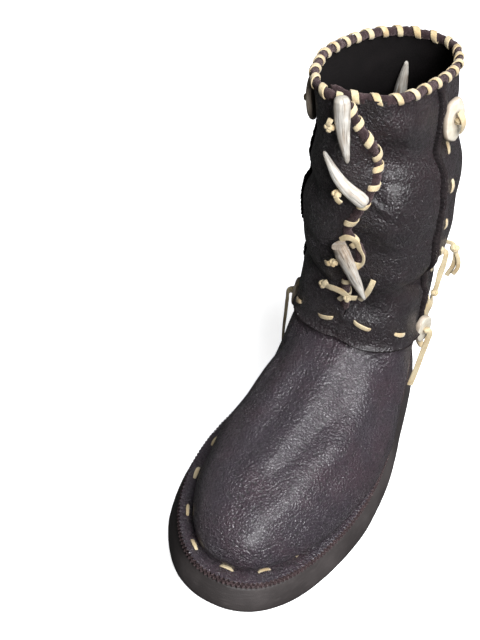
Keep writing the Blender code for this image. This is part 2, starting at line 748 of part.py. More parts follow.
def material(name, colour, roughness):
    made = bpy.data.materials.new(name)
    made.use_nodes = True
    shader = made.node_tree.nodes["Principled BSDF"]
    shader.inputs["Base Color"].default_value = (*colour, 1)
    shader.inputs["Roughness"].default_value = roughness
    return made


def main():
    leather = material("oiled_leather", (0.035, 0.018, 0.02), 0.42)
    suede = material("suede_edge", (0.05, 0.03, 0.03), 0.9)
    rubber = material("crepe_rubber", (0.06, 0.05, 0.047), 0.8)
    antler = material("antler", (0.55, 0.52, 0.46), 0.6)
    buckskin = material("buckskin", (0.55, 0.38, 0.19), 0.85)
    upper = build_upper(leather)
    build_sole(rubber, suede, suede)
    tree = BVHTree.FromPolygons([v.co for v in upper.data.vertices], [p.vertices for p in upper.data.polygons])
    build_toggles(tree, antler, buckskin)
    build_buttons(tree, antler, buckskin)
    build_thongs(tree, buckskin)
    end, out = build_hanging(tree, buckskin)
    build_leaf(tree, end, out, buckskin)
    build_inner_tip(tree, antler)


for old in list(bpy.data.objects):
    bpy.data.objects.remove(old, do_unlink=True)
COLLECTION = bpy.data.collections.new("laced_moccasin_boot")
bpy.context.scene.collection.children.link(COLLECTION)
main()
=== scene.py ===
"""Looks of the laced leather boot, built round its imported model. Metres, toe to -Y, lateral side to +X."""

import math

import bmesh
import bpy
import numpy as np
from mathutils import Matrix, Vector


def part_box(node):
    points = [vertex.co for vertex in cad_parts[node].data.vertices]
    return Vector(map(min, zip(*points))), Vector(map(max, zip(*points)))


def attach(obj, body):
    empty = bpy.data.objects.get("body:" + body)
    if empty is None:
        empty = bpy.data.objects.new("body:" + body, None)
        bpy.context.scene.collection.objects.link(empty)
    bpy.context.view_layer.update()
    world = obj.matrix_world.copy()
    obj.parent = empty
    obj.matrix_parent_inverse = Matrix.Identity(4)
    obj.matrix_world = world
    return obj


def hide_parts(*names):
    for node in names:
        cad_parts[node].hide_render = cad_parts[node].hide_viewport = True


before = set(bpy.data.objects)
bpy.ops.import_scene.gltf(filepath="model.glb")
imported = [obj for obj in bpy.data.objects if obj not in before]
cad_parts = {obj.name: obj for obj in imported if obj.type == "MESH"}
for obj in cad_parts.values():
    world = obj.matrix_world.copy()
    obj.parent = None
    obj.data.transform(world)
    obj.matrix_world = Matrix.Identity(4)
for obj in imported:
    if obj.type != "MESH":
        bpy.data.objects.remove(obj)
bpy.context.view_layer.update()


# Outsole: one wedge of dense crepe rubber, cut by hand and sanded on the edge. It is cemented under the
# midsole, flares out to the ground, and its toe is rolled up a little.
FOOT_LENGTH = 0.278
BALL_WIDTH, WAIST_WIDTH, HEEL_WIDTH = 0.0998, 0.078, 0.068
TOE_INSET = 0.0048
OUTLINE_ROUNDNESS = 2.34
FLANGE = 0.0095
FLARE = 0.006
FOREFOOT_SOLE, HEEL_SOLE = 0.0174, 0.0225
TOE_SPRING, ARCH_RISE = 0.008, 0.0025
FOOTPRINT = np.array(
    [
        # along, ball share, waist share, heel share, toe inset share
        (0.00, 0.94, 0.00, 0.00, 0.56),
        (0.16, 1.01, 0.00, 0.00, 0.94),
        (0.34, 1.00, 0.00, 0.00, 0.44),
        (0.50, 0.50, 0.50, 0.00, -0.15),
        (0.64, 0.00, 1.00, 0.00, -0.05),
        (0.78, 0.00, 0.35, 0.65, -0.05),
        (1.00, 0.00, 0.00, 1.02, 0.20),
    ]
)
GROUND_RUBBER = (0.027, 0.0225, 0.0220, 1)
DUSTY_RUBBER = (0.075, 0.064, 0.062, 1)


def soft(x, xs, ys):
    """Cubic curve through (xs, ys) whose slope at each point is the mean of its neighbours' slopes."""
    x = np.clip(x, xs[0], xs[-1])
    slopes = np.gradient(ys, xs)
    i = np.clip(np.searchsorted(xs, x, side="right") - 1, 0, len(xs) - 2)
    span = xs[i + 1] - xs[i]
    t = (x - xs[i]) / span
    start = (1 + 2 * t) * (1 - t) ** 2 * ys[i] + t * (1 - t) ** 2 * span * slopes[i]
    return start + t * t * (3 - 2 * t) * ys[i + 1] + t * t * (t - 1) * span * slopes[i + 1]


def ease(x):
    """Step from 0 to 1 as 3x^2 - 2x^3."""
    x = np.clip(x, 0, 1)
    return x * x * (3 - 2 * x)


def along_of(angle):
    """Share of the way from toe to heel at an angle of the superellipse |x|^n + |y|^n = 1."""
    c = np.cos(angle)
    return (1 - np.sign(c) * np.abs(c) ** (2 / OUTLINE_ROUNDNESS)) / 2


def foot_half(along):
    """Half width of the foot: its table of widths times the superellipse (1 - |1 - 2t|^n)^(1/n)."""
    halves = FOOTPRINT[:, 1:4] @ np.array([BALL_WIDTH, WAIST_WIDTH, HEEL_WIDTH]) / 2
    inside = np.clip(1 - np.abs(1 - 2 * along) ** OUTLINE_ROUNDNESS, 0, 1)
    return soft(along, FOOTPRINT[:, 0], halves) * inside ** (1 / OUTLINE_ROUNDNESS)


def foot_centre(along):
    """Sway of the foot's middle line to the medial side."""
    return -TOE_INSET * soft(along, FOOTPRINT[:, 0], FOOTPRINT[:, 4])


def unit(ways):
    """Directions divided by their own lengths."""
    return ways / np.linalg.norm(ways, axis=-1, keepdims=True)


def walked(points):
    """Distance walked along a line of points: the running sum of its steps."""
    return np.concatenate([[0], np.cumsum(np.linalg.norm(np.diff(points, axis=0), axis=1))])


def footprint(angle, grow=0.0):
    """Outline of the upper where it meets the sole, moved out by grow along its own normal."""

    def plain(a):
        along = along_of(a)
        x = foot_centre(along) + np.sign(np.sin(a)) * foot_half(along)
        return np.stack([x, (along - 0.5) * FOOT_LENGTH], -1)

    tangent = unit(plain(angle + 0.02) - plain(angle - 0.02))
    normal = np.stack([tangent[..., 1], -tangent[..., 0]], -1)
    return plain(angle) + np.asarray(grow)[..., None] * normal


def spring_of(y):
    """Rise of the toe: a power of the distance in front of the ball."""
    return TOE_SPRING * np.clip((0.17 - y / FOOT_LENGTH - 0.5) / 0.2, 0, 2) ** 1.6


def sole_top(y):
    """Top of the outsole: a wedge from the ball to the heel, plus the toe's rise."""
    return FOREFOOT_SOLE + (HEEL_SOLE - FOREFOOT_SOLE) * ease((y / FOOT_LENGTH + 0.15) / 0.4) + spring_of(y)


def tread_height(y):
    """Underside of the outsole: flat, with a low arch at the waist and the toe's rise."""
    along = y / FOOT_LENGTH + 0.5
    return spring_of(y) + ARCH_RISE * ease((along - 0.53) / 0.08) * ease((0.76 - along) / 0.08)


def ripple(points, size, seed):
    """Smooth unevenness from -1 to 1: the mean of nine sine waves in set directions, about size long."""
    dice = np.random.default_rng(seed)
    total = np.zeros(points.shape[:-1])
    for _ in range(9):
        way = unit(dice.normal(size=3))
        total += np.sin(points @ way * (2 * np.pi / size) * dice.uniform(0.6, 1.6) + dice.uniform(0, 6.28))
    return total / 4.5


def quads_of(number):
    """Four-cornered faces between neighbouring rows and columns of a grid of point numbers."""
    return np.stack([number[:-1, :-1], number[:-1, 1:], number[1:, 1:], number[1:, :-1]], -1).reshape(-1, 4)


def strips_across(ring, way):
    """Level faces from side to side across a ring of point numbers, facing up for 1 and down for -1."""
    half = len(ring) // 2
    right, left = ring[:half], ring[half:][::-1]
    return np.stack([right[:-1], right[1:], left[1:], left[:-1]], -1)[:, ::way]


def rings_round(body):
    """Faces between rings of points that each close on themselves."""
    number = np.arange(body.shape[0] * body.shape[1]).reshape(body.shape[:2])
    return quads_of(np.c_[number, number[:, :1]])


def stack_of_rings(body):
    """Points and faces of a closed body of level rings, with strips across its lowest and highest ring."""
    number = np.arange(body.shape[0] * body.shape[1]).reshape(body.shape[:2])
    faces = [rings_round(body), strips_across(number[0], -1), strips_across(number[-1], 1)]
    return body.reshape(-1, 3), np.concatenate(faces)


def new_piece(name, points, faces, materials, slot, node=None, kinds=None, flow=None, sharp=40, weld=False):
    """Mesh object on the root body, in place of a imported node. kinds gives each face its material, and flow
    each point its pair of UV numbers."""
    mesh = bpy.data.meshes.new(name)
    mesh.vertices.add(len(points))
    mesh.vertices.foreach_set("co", np.asarray(points, np.float32).ravel())
    mesh.loops.add(faces.size)
    mesh.loops.foreach_set("vertex_index", faces.astype(np.int32).ravel())
    mesh.polygons.add(len(faces))
    mesh.polygons.foreach_set("loop_start", np.arange(0, faces.size, 4, dtype=np.int32))
    mesh.update(calc_edges=True)
    for material in materials:
        mesh.materials.append(material)
    if kinds is not None:
        mesh.polygons.foreach_set("material_index", np.asarray(kinds, np.int32))
    if flow is not None:
        layer = mesh.uv_layers.new(name="flow")
        layer.data.foreach_set("uv", np.asarray(flow, np.float32)[faces.ravel()].ravel())
    if weld:
        shape = bmesh.new()
        shape.from_mesh(mesh)
        bmesh.ops.remove_doubles(shape, verts=shape.verts, dist=2e-6)
        bmesh.ops.dissolve_degenerate(shape, edges=shape.edges, dist=1e-7)
        shape.to_mesh(mesh)
        shape.free()
    mesh.validate()
    mesh.shade_smooth()
    mesh.set_sharp_from_angle(angle=math.radians(sharp))
    piece = bpy.data.objects.new(name, mesh)
    bpy.context.scene.collection.objects.link(piece)
    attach(piece, "root")
    if node:
        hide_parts(node)
    return piece


class Wire:
    """An output of a node, on which sums are written as on a number."""

    def __init__(self, finish, socket):
        self.finish = finish
        self.socket = socket

    def math(self, kind, first, second):
        return self.finish.node("ShaderNodeMath", {"operation": kind}, {0: first, 1: second})

    def __add__(self, other):
        return self.math("ADD", self, other)

    def __sub__(self, other):
        return self.math("SUBTRACT", self, other)

    def __rsub__(self, other):
        return self.math("SUBTRACT", other, self)

    def __mul__(self, other):
        return self.math("MULTIPLY", self, other)

    def __pow__(self, other):
        return self.math("POWER", self, other)

    __radd__ = __add__
    __rmul__ = __mul__

    def step(self, low, high):
        """0 below low and 1 above high, smooth in between."""
        soft_step = {"interpolation_type": "SMOOTHSTEP"}
        return self.finish.node("ShaderNodeMapRange", soft_step, {0: self, 1: low, 2: high})


class Finish:
    """A material in the making. Every node of it comes from node()."""

    def __init__(self, name):
        self.material = bpy.data.materials.new(name)
        self.material.use_nodes = True
        self.material.node_tree.nodes.clear()
        self.spot = self.node("ShaderNodeTexCoord", out="Object")

    def node(self, kind, settings=None, sockets=None, out=0):
        made = self.material.node_tree.nodes.new(kind)
        for key, value in (settings or {}).items():
            setattr(made, key, value)
        for key, value in (sockets or {}).items():
            if isinstance(value, Wire):
                self.material.node_tree.links.new(value.socket, made.inputs[key])
            else:
                made.inputs[key].default_value = value
        return Wire(self, made.outputs[out]) if len(made.outputs) else None

    def stretched(self, spot, ways):
        """Coordinates multiplied by a number for each axis."""
        return self.node("ShaderNodeVectorMath", {"operation": "MULTIPLY"}, {0: spot, 1: ways})

    def noise(self, size, detail=3.0, spot=None, rough=0.5, twist=0.0):
        """Cloudy noise from 0 to 1 whose clouds are about size metres across."""
        sockets = {"Vector": spot or self.spot, "Scale": 1 / size, "Detail": detail, "Roughness": rough}
        sockets["Distortion"] = twist
        return self.node("ShaderNodeTexNoise", None, sockets)

    def cells(self, size, feature="F1", spot=None, even=1.0):
        """Distance to the nearest cell middle, or to the cell's edge, in cells about size metres across."""
        sockets = {"Vector": spot or self.spot, "Scale": 1 / size, "Randomness": even}
        return self.node("ShaderNodeTexVoronoi", {"feature": feature}, sockets, "Distance")

    def mix(self, share, first, second, blend="MIX"):
        sockets = {0: share, 6: first, 7: second}
        return self.node("ShaderNodeMix", {"data_type": "RGBA", "blend_type": blend}, sockets, 2)

    def surface(self, colour, roughness, height=None, depth=0.001, **more):
        """Joins the colour, roughness and relief to the surface, and gives back the material."""
        sockets = {"Base Color": colour, "Roughness": roughness}
        sockets.update({key.replace("_", " "): value for key, value in more.items()})
        if height is not None:
            relief = {"Height": height, "Strength": 1.0, "Distance": depth}
            sockets["Normal"] = self.node("ShaderNodeBump", None, relief)
        shader = self.node("ShaderNodeBsdfPrincipled", None, sockets)
        self.node("ShaderNodeOutputMaterial", None, {"Surface": shader})
        return self.material


def crepe_rubber():
    """Sanded rubber: fine speckle, drag marks along the edge, and pale dust that gathers in patches."""
    finish = Finish("crepe_rubber")
    speck = finish.cells(0.0011)
    drag = finish.noise(0.006, 4, finish.stretched(finish.spot, (1.0, 1.0, 6.0)))
    patch = finish.noise(0.035, 3)
    dust = (patch.step(0.42, 0.75) * 0.45 + drag.step(0.5, 0.75) * 0.25) * 0.9
    pit = speck.step(0.0, 0.25)
    colour = finish.mix(dust, GROUND_RUBBER, DUSTY_RUBBER)
    colour = finish.mix((1 - pit) * 0.35, colour, (0.02, 0.016, 0.015, 1))
    height = pit * 0.5 + drag * 0.8 + finish.noise(0.0006, 2) * 0.35
    return finish.surface(colour, 0.62 + dust * 0.3, height, 0.00025)


def build_outsole():
    """Closed body of rings: the outline grown outwards by a profile that rounds both edges."""
    angle = (np.arange(400) + 0.5) / 400 * 2 * np.pi
    profile = np.array(
        [
            # outwards between the top's and the tread's reach, share of the height
            (0.60, 0.000),
            (0.93, 0.004),
            (0.985, 0.025),
            (1.000, 0.075),
            (0.930, 0.200),
            (0.760, 0.400),
            (0.500, 0.620),
            (0.260, 0.800),
            (0.100, 0.920),
            (0.030, 0.970),
            (-0.08, 0.993),
            (-0.30, 1.000),
        ]
    )
    reach = FLANGE + 0.0004 + profile[:, :1] * (FLARE - 0.0002)
    reach[0] = FLANGE + FLARE - 0.004
    plan = footprint(*np.broadcast_arrays(angle, reach))
    low, high = tread_height(plan[..., 1]), sole_top(plan[..., 1])
    body = np.concatenate([plan, (low + (high - low) * profile[:, 1:])[..., None]], -1)
    outward = footprint(angle, 1.0) - footprint(angle)
    worn = ripple(body, 0.05, 3) * 0.00022 + ripple(body, 0.012, 4) * 0.00008
    body[1:-1, :, :2] += (outward[None] * worn[..., None])[1:-1]
    return stack_of_rings(body)


new_piece("outsole_rubber", *build_outsole(), [crepe_rubber()], "crepe_rubber", "outsole", weld=True)


# Midsole: a thin layer of the same leather, glued flesh side out on the rubber. Its edge is cut with pinking
# shears, so that small teeth stand out all the way round under the upper's own edge.
MIDSOLE = 0.0025
GAP = 0.0003
TOOTH = 0.0033
TEETH = 226
TOOTH_DEPTH = 0.0014
NAP_DARK = (0.016, 0.0085, 0.0095, 1)
NAP_LIGHT = (0.062, 0.038, 0.040, 1)


def suede(name, dark, light_nap, sheen):
    """Flesh side of the leather: short fibres in clumps, lighter where the nap is rubbed up."""
    finish = Finish(name)
    fibre = finish.noise(0.0005, 3, twist=1.5)
    clump = finish.noise(0.004, 4, twist=0.6)
    rubbed = finish.noise(0.025, 2)
    light = clump.step(0.35, 0.75) * 0.6 + fibre.step(0.4, 0.8) * 0.4
    colour = finish.mix(light * (0.45 + rubbed * 0.8), dark, light_nap)
    more = {"Sheen_Weight": sheen, "Sheen_Roughness": 0.45, "Sheen_Tint": (0.55, 0.42, 0.42, 1)}
    return finish.surface(colour, 0.94, fibre * 0.7 + clump * 1.4, 0.0007, Specular_IOR_Level=0.2, **more)


def teeth(turns, count=TEETH, offset=0.0):
    """Pinked edge: a triangle wave from -1 at the notch to 1 at the tip, count teeth a turn."""
    return 4 * np.abs((turns * count + offset) % 1 - 0.5) - 1


def pinked_turns(count):
    """Turns round the foot in equal steps of arc, with a tip or a notch of a tooth at every other step."""
    fine = np.linspace(0, 1, 4001)
    plan = footprint(fine * 2 * np.pi, FLANGE)
    run = walked(plan)
    even = (np.arange(count) + 0.5) / count
    return even, np.interp(even * run[-1], run, fine) * 2 * np.pi


def build_midsole():
    """Closed ring with rounded, toothed edge, and level strips across."""
    share, angle = pinked_turns(TEETH * 4)
    rise = np.array([0.0, 0.25, 0.75, 1.0])
    inward = np.array([0.0004, 0.0, 0.0, 0.0004])
    bite = teeth(share, offset=0.625) * TOOTH_DEPTH / 2
    reach = FLANGE + 0.0006 + bite[None] - inward[:, None]
    plan = footprint(np.broadcast_to(angle, reach.shape), reach)
    inner = footprint(angle, FLANGE - 0.004)
    plan = np.concatenate([inner[None], plan, inner[None]])
    rise = np.concatenate([[0], rise, [1]])
    height = sole_top(plan[..., 1]) + GAP + MIDSOLE * rise[:, None]
    body = np.concatenate([plan, height[..., None]], -1)
    body[2:4, :, 2] += ripple(body[2:4], 0.02, 8) * 0.0002
    return stack_of_rings(body)


nap = suede("suede", NAP_DARK, NAP_LIGHT, 0.35)
new_piece("midsole_layer", *build_midsole(), [nap], "suede_edge", "midsole", weld=True)


# Insole: a flat sock of suede that lies inside on the midsole, a little smaller than the upper.
WALL = 0.002
INSOLE, INSOLE_CLEARANCE = 0.003, 0.0015


def build_insole():
    """Closed body of rings inside the foot's outline, with a rounded top edge."""
    angle = (np.arange(240) + 0.5) / 240 * 2 * np.pi
    inset = -(WALL + INSOLE_CLEARANCE) - np.array([0.0, 0.0, 0.0005, 0.002])
    rise = np.array([0.0, 0.75, 0.95, 1.0])
    plan = footprint(*np.broadcast_arrays(angle, inset[:, None]))
    height = sole_top(plan[..., 1]) + GAP * 2 + MIDSOLE + INSOLE * rise[:, None]
    return stack_of_rings(np.concatenate([plan, height[..., None]], -1))


new_piece("insole_sock", *build_insole(), [nap], "suede_edge", "insole")


# Foot of the upper: one piece of soft pebbled cowhide, turned out at the bottom as a toothed edge over the
# midsole and stitched down through it. It slouches, so it swells over its edge and falls in long soft ridges.
LAYER = 0.0017
HEM_FRONT, HEM_BACK = 0.078, 0.048
COLLAR_FRONT, COLLAR_BACK = 0.257, 0.248
ARCH_POWER = 2.3
BULGE_HEIGHT = 0.011
SLIT_LEVEL = 1.09
RIDGE = np.array(
    [
        # share of the foot's length, share of the hem's height
        (0.000, 0.00),
        (0.006, 0.15),
        (0.028, 0.30),
        (0.075, 0.44),
        (0.155, 0.56),
        (0.260, 0.66),
        (0.370, 0.77),
        (0.460, 0.89),
        (0.536, 1.00),
    ]
)
BULGE = np.array(
    [
        # along, medial, lateral and middle swell
        (0.00, 0.0030, 0.0060, 0.0040),
        (0.15, 0.0010, 0.0095, 0.0015),
        (0.35, 0.0010, 0.0110, 0.0010),
        (0.58, 0.0035, 0.0105, 0.0010),
        (0.80, 0.0040, 0.0060, 0.0010),
        (1.00, 0.0015, 0.0015, 0.0010),
    ]
)
SHAFT = np.array(
    [
        # share, front y, back y, width, centre x, skew, hem shape
        (0.00, 0.536, 1.010, 1.22, -0.030, 0.00, 1.00),
        (0.10, 0.537, 0.998, 1.22, -0.030, 0.00, 0.70),
        (0.28, 0.520, 0.975, 1.21, -0.035, 0.00, 0.20),
        (0.45, 0.500, 0.957, 1.28, -0.040, 0.00, 0.00),
        (0.62, 0.490, 0.943, 1.22, -0.050, 0.04, 0.00),
        (0.80, 0.492, 0.920, 0.95, -0.100, 0.08, 0.00),
        (1.00, 0.493, 0.898, 0.94, -0.190, 0.12, 0.00),
    ]
)
FOLDS = (
    # angle, share of the shaft, half angle, half share, slant, depth as wall thicknesses
    (55.0, 0.22, 48.0, 0.050, 0.10, -2.6),
    (62.0, 0.34, 50.0, 0.070, 0.06, 1.6),
    (60.0, 0.76, 46.0, 0.045, -0.05, -2.0),
    (70.0, 0.88, 60.0, 0.060, 0.00, 0.8),
    (-48.0, 0.26, 46.0, 0.050, -0.08, -2.4),
    (-55.0, 0.60, 48.0, 0.050, 0.08, -2.2),
    (180.0, 0.20, 60.0, 0.060, 0.00, -2.0),
    (185.0, 0.55, 65.0, 0.070, 0.05, -1.5),
)
CREASES = (
    # height in mm, half width in mm, then places (angle in degrees, level) along the crease
    (-2.4, 3.2, (34, 1.245), (45, 1.262), (58, 1.252), (70, 1.215), (84, 1.175)),
    (1.3, 5.5, (24, 1.19), (40, 1.195), (56, 1.185), (74, 1.14)),
    (1.0, 5.0, (20, 1.30), (36, 1.325), (52, 1.315), (70, 1.28)),
    (-1.0, 2.6, (12, 1.255), (24, 1.235), (34, 1.24)),
    (0.9, 2.4, (12, 1.215), (20, 1.265), (30, 1.295)),
    (-0.8, 2.2, (18, 1.205), (27, 1.235), (37, 1.27)),
    (-1.6, 3.4, (30, 1.80), (42, 1.83), (56, 1.815), (74, 1.76)),
    (0.9, 4.6, (26, 1.88), (45, 1.905), (64, 1.88), (80, 1.82)),
    (-1.1, 3.6, (26, 1.66), (40, 1.70), (58, 1.69), (76, 1.64)),
    (0.8, 4.5, (20, 1.62), (36, 1.62), (54, 1.59), (72, 1.55)),
    (-0.9, 3.8, (16, 1.52), (34, 1.50), (54, 1.47), (74, 1.46)),
    (-0.8, 2.4, (18, 1.69), (24, 1.655), (33, 1.63)),
    (0.7, 2.0, (17, 1.66), (25, 1.625), (36, 1.60)),
    (-0.7, 2.0, (16, 1.635), (24, 1.60), (33, 1.575)),
    (-1.3, 3.0, (-8, 1.17), (2, 1.150), (12, 1.155), (22, 1.165)),
    (1.0, 3.0, (-4, 1.125), (6, 1.115), (16, 1.125)),
    (-2.0, 4.0, (-70, 1.30), (-50, 1.27), (-30, 1.245), (-14, 1.22)),
    (-1.6, 4.0, (-74, 1.66), (-52, 1.63), (-30, 1.58), (-12, 1.55)),
    (-1.2, 3.4, (-70, 1.80), (-48, 1.79), (-28, 1.82)),
    (-1.2, 3.4, (-66, 1.45), (-44, 1.42), (-24, 1.40)),
    (-1.5, 3.8, (104, 1.24), (128, 1.20), (156, 1.18), (186, 1.20), (220, 1.24), (250, 1.25)),
    (-1.1, 3.4, (106, 1.40), (134, 1.37), (160, 1.385)),
    (-1.3, 4.2, (150, 1.58), (180, 1.55), (212, 1.57), (240, 1.60)),
    (-1.0, 3.6, (110, 1.72), (140, 1.75), (176, 1.74), (210, 1.72)),
    (1.6, 8.0, (9, 1.00), (4, 0.86), (4, 0.70), (1, 0.52), (-5, 0.33)),
    (-1.7, 6.5, (27, 0.94), (26, 0.72), (18, 0.57), (12, 0.46), (3, 0.38)),
    (1.5, 9.0, (46, 0.86), (44, 0.62), (36, 0.44), (26, 0.30), (14, 0.20)),
    (-1.5, 6.0, (62, 0.88), (62, 0.66), (56, 0.46), (46, 0.30)),
    (1.0, 7.0, (82, 0.80), (84, 0.55), (80, 0.34), (68, 0.20)),
    (-1.2, 6.0, (-12, 0.92), (-13, 0.70), (-15, 0.50), (-22, 0.34)),
    (1.0, 6.5, (-32, 0.84), (-30, 0.60), (-33, 0.42)),
    (-1.0, 5.5, (-52, 0.86), (-50, 0.60), (-52, 0.40)),
    (-0.9, 5.0, (112, 0.90), (122, 0.66), (126, 0.44)),
    (-1.0, 5.0, (150, 0.86), (158, 0.60), (160, 0.40)),
    (-0.9, 5.0, (206, 0.90), (204, 0.62), (200, 0.42)),
    (-0.9, 5.0, (250, 0.88), (244, 0.62), (240, 0.44)),
)
HIDE_DARK = (0.0080, 0.0060, 0.0078, 1)
HIDE = (0.040, 0.0315, 0.0405, 1)
HIDE_RED = (0.046, 0.0285, 0.0375, 1)
# Colours of the shaft's hide: the foot's hide made darker, painted shade on the shaft's upright sides.
SHADED_SHAFT_TONE = (0.0170, 0.0125, 0.0150, 1)
SHADED_SHAFT_RED = (0.0200, 0.0108, 0.0135, 1)
SHADED_SHAFT_DARK = (0.0042, 0.0030, 0.0036, 1)


def feather_height(y):
    """Top of the turned-out edge: the outsole, the midsole and one thickness of leather."""
    return sole_top(y) + GAP * 2 + MIDSOLE + WALL


def ridge(level):
    """Front line of the foot: the table of the ridge, walked by its own length."""
    run = np.hypot(np.diff(RIDGE[:, 0]) * FOOT_LENGTH, np.diff(RIDGE[:, 1]) * HEM_FRONT)
    run = np.concatenate([[0], np.cumsum(run)]) / run.sum()
    return soft(level, run, RIDGE[:, 0]), soft(level, run, RIDGE[:, 1]) * HEM_FRONT


def arch_share(along, height):
    """Half width of the foot at a height, (1 - t^p)^0.5, where t is the share of the ridge's height."""
    xs, ys = ridge(np.linspace(0, 1, 200))
    top = np.interp(along, xs, ys) + np.clip(along - xs[-1], 0, 1) * FOOT_LENGTH * 2.2
    t = np.clip(height / np.maximum(top, 1e-5), 0, 1)
    return (1 - t**ARCH_POWER) ** 0.5


def skin(angle, level):
    """Plain surface of the upper. The angle runs round from the front by the lateral side, and the level from
    0 at the sole to 1 at the hem and 2 at the collar. A section lies in a plane from a front to a back point,
    and its half width is the superellipse of the foot, the round tube of the shaft, or a blend of the two."""
    angle, level = np.broadcast_arrays(angle, level)
    share, foot = np.clip(level - 1, 0, 1), np.clip(level, 0, 1)
    ridge_x, ridge_h = ridge(foot)
    shaft = [soft(share, SHAFT[:, 0], SHAFT[:, i]) for i in range(7)]
    heel_x = 1 + (SHAFT[0, 2] - 1) * ease(foot)
    front_x, back_x = np.where(level < 1, ridge_x, shaft[1]), np.where(level < 1, heel_x, shaft[2])
    front_h = np.where(level < 1, ridge_h, HEM_FRONT + (COLLAR_FRONT - HEM_FRONT) * share)
    back_h = np.where(level < 1, HEM_BACK * foot, HEM_BACK + (COLLAR_BACK - HEM_BACK) * share)
    along, side = along_of(angle), np.sign(np.sin(angle))
    foot_x = ridge_x + (heel_x - ridge_x) * along
    foot_h = ridge_h + (HEM_BACK * foot - ridge_h) * along
    rear = np.clip((foot_x - 0.8) / (heel_x - 0.8), 0, None) * 0.2 + 0.8
    plan_x = np.where(foot_x > 0.8, rear, foot_x)
    keep = np.where(level < 1, 1.0, np.clip(shaft[6], 0, 1))
    tube = HEEL_WIDTH / 2 * shaft[3] * np.abs(np.sin(angle)) ** (2 / 2.1)
    half = foot_half(plan_x) * arch_share(plan_x, foot_h) * keep + tube * (1 - keep)
    centre = (shaft[4] + shaft[5] * (2 * along - 1)) * HEEL_WIDTH
    x = foot_centre(plan_x) * keep + centre * (1 - keep) + side * half
    y = (front_x + (back_x - front_x) * along - 0.5) * FOOT_LENGTH
    z = feather_height((foot_x - 0.5) * FOOT_LENGTH) + front_h + (back_h - front_h) * along
    swell = np.where(side < 0, soft(plan_x, BULGE[:, 0], BULGE[:, 1]), soft(plan_x, BULGE[:, 0], BULGE[:, 2]))
    middle = soft(plan_x, BULGE[:, 0], BULGE[:, 3])
    swell = middle + (swell - middle) * np.abs(np.sin(angle)) ** 0.7
    out = (footprint(angle, 1.0) - footprint(angle)) * (keep * swell * ease(foot_h / BULGE_HEIGHT))[..., None]
    return np.stack([x + out[..., 0], y + out[..., 1], z], -1)


def upper_place(angle, level, out=0.0):
    """Points out metres off the plain surface with its broad folds, and the outward directions there."""
    angle, level = np.broadcast_arrays(np.asarray(angle, float), np.asarray(level, float))
    turn = skin(angle + 0.01, level) - skin(angle - 0.01, level)
    rise = skin(angle, np.clip(level + 0.01, 0.001, 2)) - skin(angle, np.clip(level - 0.01, 0.001, 2))
    normal = unit(np.cross(turn, rise))
    fold = 0.0
    for middle, share, half_angle, half_share, slant, depth in FOLDS:
        around = np.degrees(np.angle(np.exp(1j * (angle - math.radians(middle)))))
        off = (level - 1) - share - slant * around / 90
        fold = fold + depth * WALL * np.exp(-((around / half_angle) ** 2) - (off / half_share) ** 2)
    fold = fold * ease((level - 1.04) / 0.08) * ease((1.97 - level) / 0.06)
    return skin(angle, level) + normal * (fold + out)[..., None], normal


def soft_line(points, count):
    """Even points along a smooth curve through a few."""
    points = np.asarray(points, float)
    run = walked(points)
    at = np.linspace(0, run[-1], count)
    return np.stack([soft(at, run, points[:, i]) for i in range(3)], -1)


def crease_relief(points, level):
    """Height of the listed creases at points: a bell across each crease that fades to its ends, and a
    little unevenness of the slack leather."""
    flat = points.reshape(-1, 3)
    total = ripple(flat, 0.045, 11) * 0.00055 + ripple(flat, 0.016, 12) * 0.00016
    total *= ease(level.ravel() / 0.15)
    for height, half, *places in CREASES:
        angle, at = np.array(places, float).T
        line = soft_line(upper_place(np.radians(angle), at)[0], 24)
        inside_box = (flat > line.min(0) - half * 0.003) & (flat < line.max(0) + half * 0.003)
        near = np.nonzero(inside_box.all(1))[0]
        fade = np.sin(np.pi * np.linspace(0.04, 0.96, 24)) ** 0.7
        away = np.linalg.norm(flat[near, None] - line[None], axis=-1) / (half * 0.001)
        total[near] += height * 0.001 * (fade * np.exp(-(away**2))).max(1)
    return total.reshape(level.shape)


def on_upper(angle, level, out=0.0):
    """Points on the creased leather, out metres off it, and the outward directions of the plain surface."""
    points, normal = upper_place(angle, level)
    level = np.broadcast_to(level, points.shape[:-1])
    return points + normal * (crease_relief(points, level) + out)[..., None], normal


def pebbled_hide(name, plain, red, dark):
    """Oiled cowhide: shrunken pebbles with fine lines between them, gone glossy on top, over a burgundy-brown
    dye that is redder where the leather is stretched; the colour goes nearly black in the grain's valleys."""
    finish = Finish(name)
    drift = finish.noise(0.010, 2)
    shift = {0: drift, 1: (0.0022,) * 3, 2: finish.spot}
    warped = finish.node("ShaderNodeVectorMath", {"operation": "MULTIPLY_ADD"}, shift)
    pebble = finish.cells(0.00135, "SMOOTH_F1", warped, 1.0)
    fine = finish.cells(0.0008, "DISTANCE_TO_EDGE", warped)
    wrinkle = finish.noise(0.0055, 3, twist=0.3)
    patch = finish.noise(0.030, 3)
    valley = pebble.step(0.35, 0.75)
    colour = finish.mix(patch.step(0.35, 0.7), plain, red)
    colour = finish.mix(valley * 0.75 + wrinkle.step(0.55, 0.8) * 0.2, colour, dark)
    height = (1 - pebble) * 1.0 + fine.step(0.0, 0.14) * 0.30 + wrinkle * 0.25
    rough = 0.29 + valley * 0.30 + patch * 0.06
    gloss = {"Specular_IOR_Level": 0.8, "Coat_Weight": 0.12, "Coat_Roughness": 0.25}
    return finish.surface(colour, rough, height, 0.0009, **gloss)


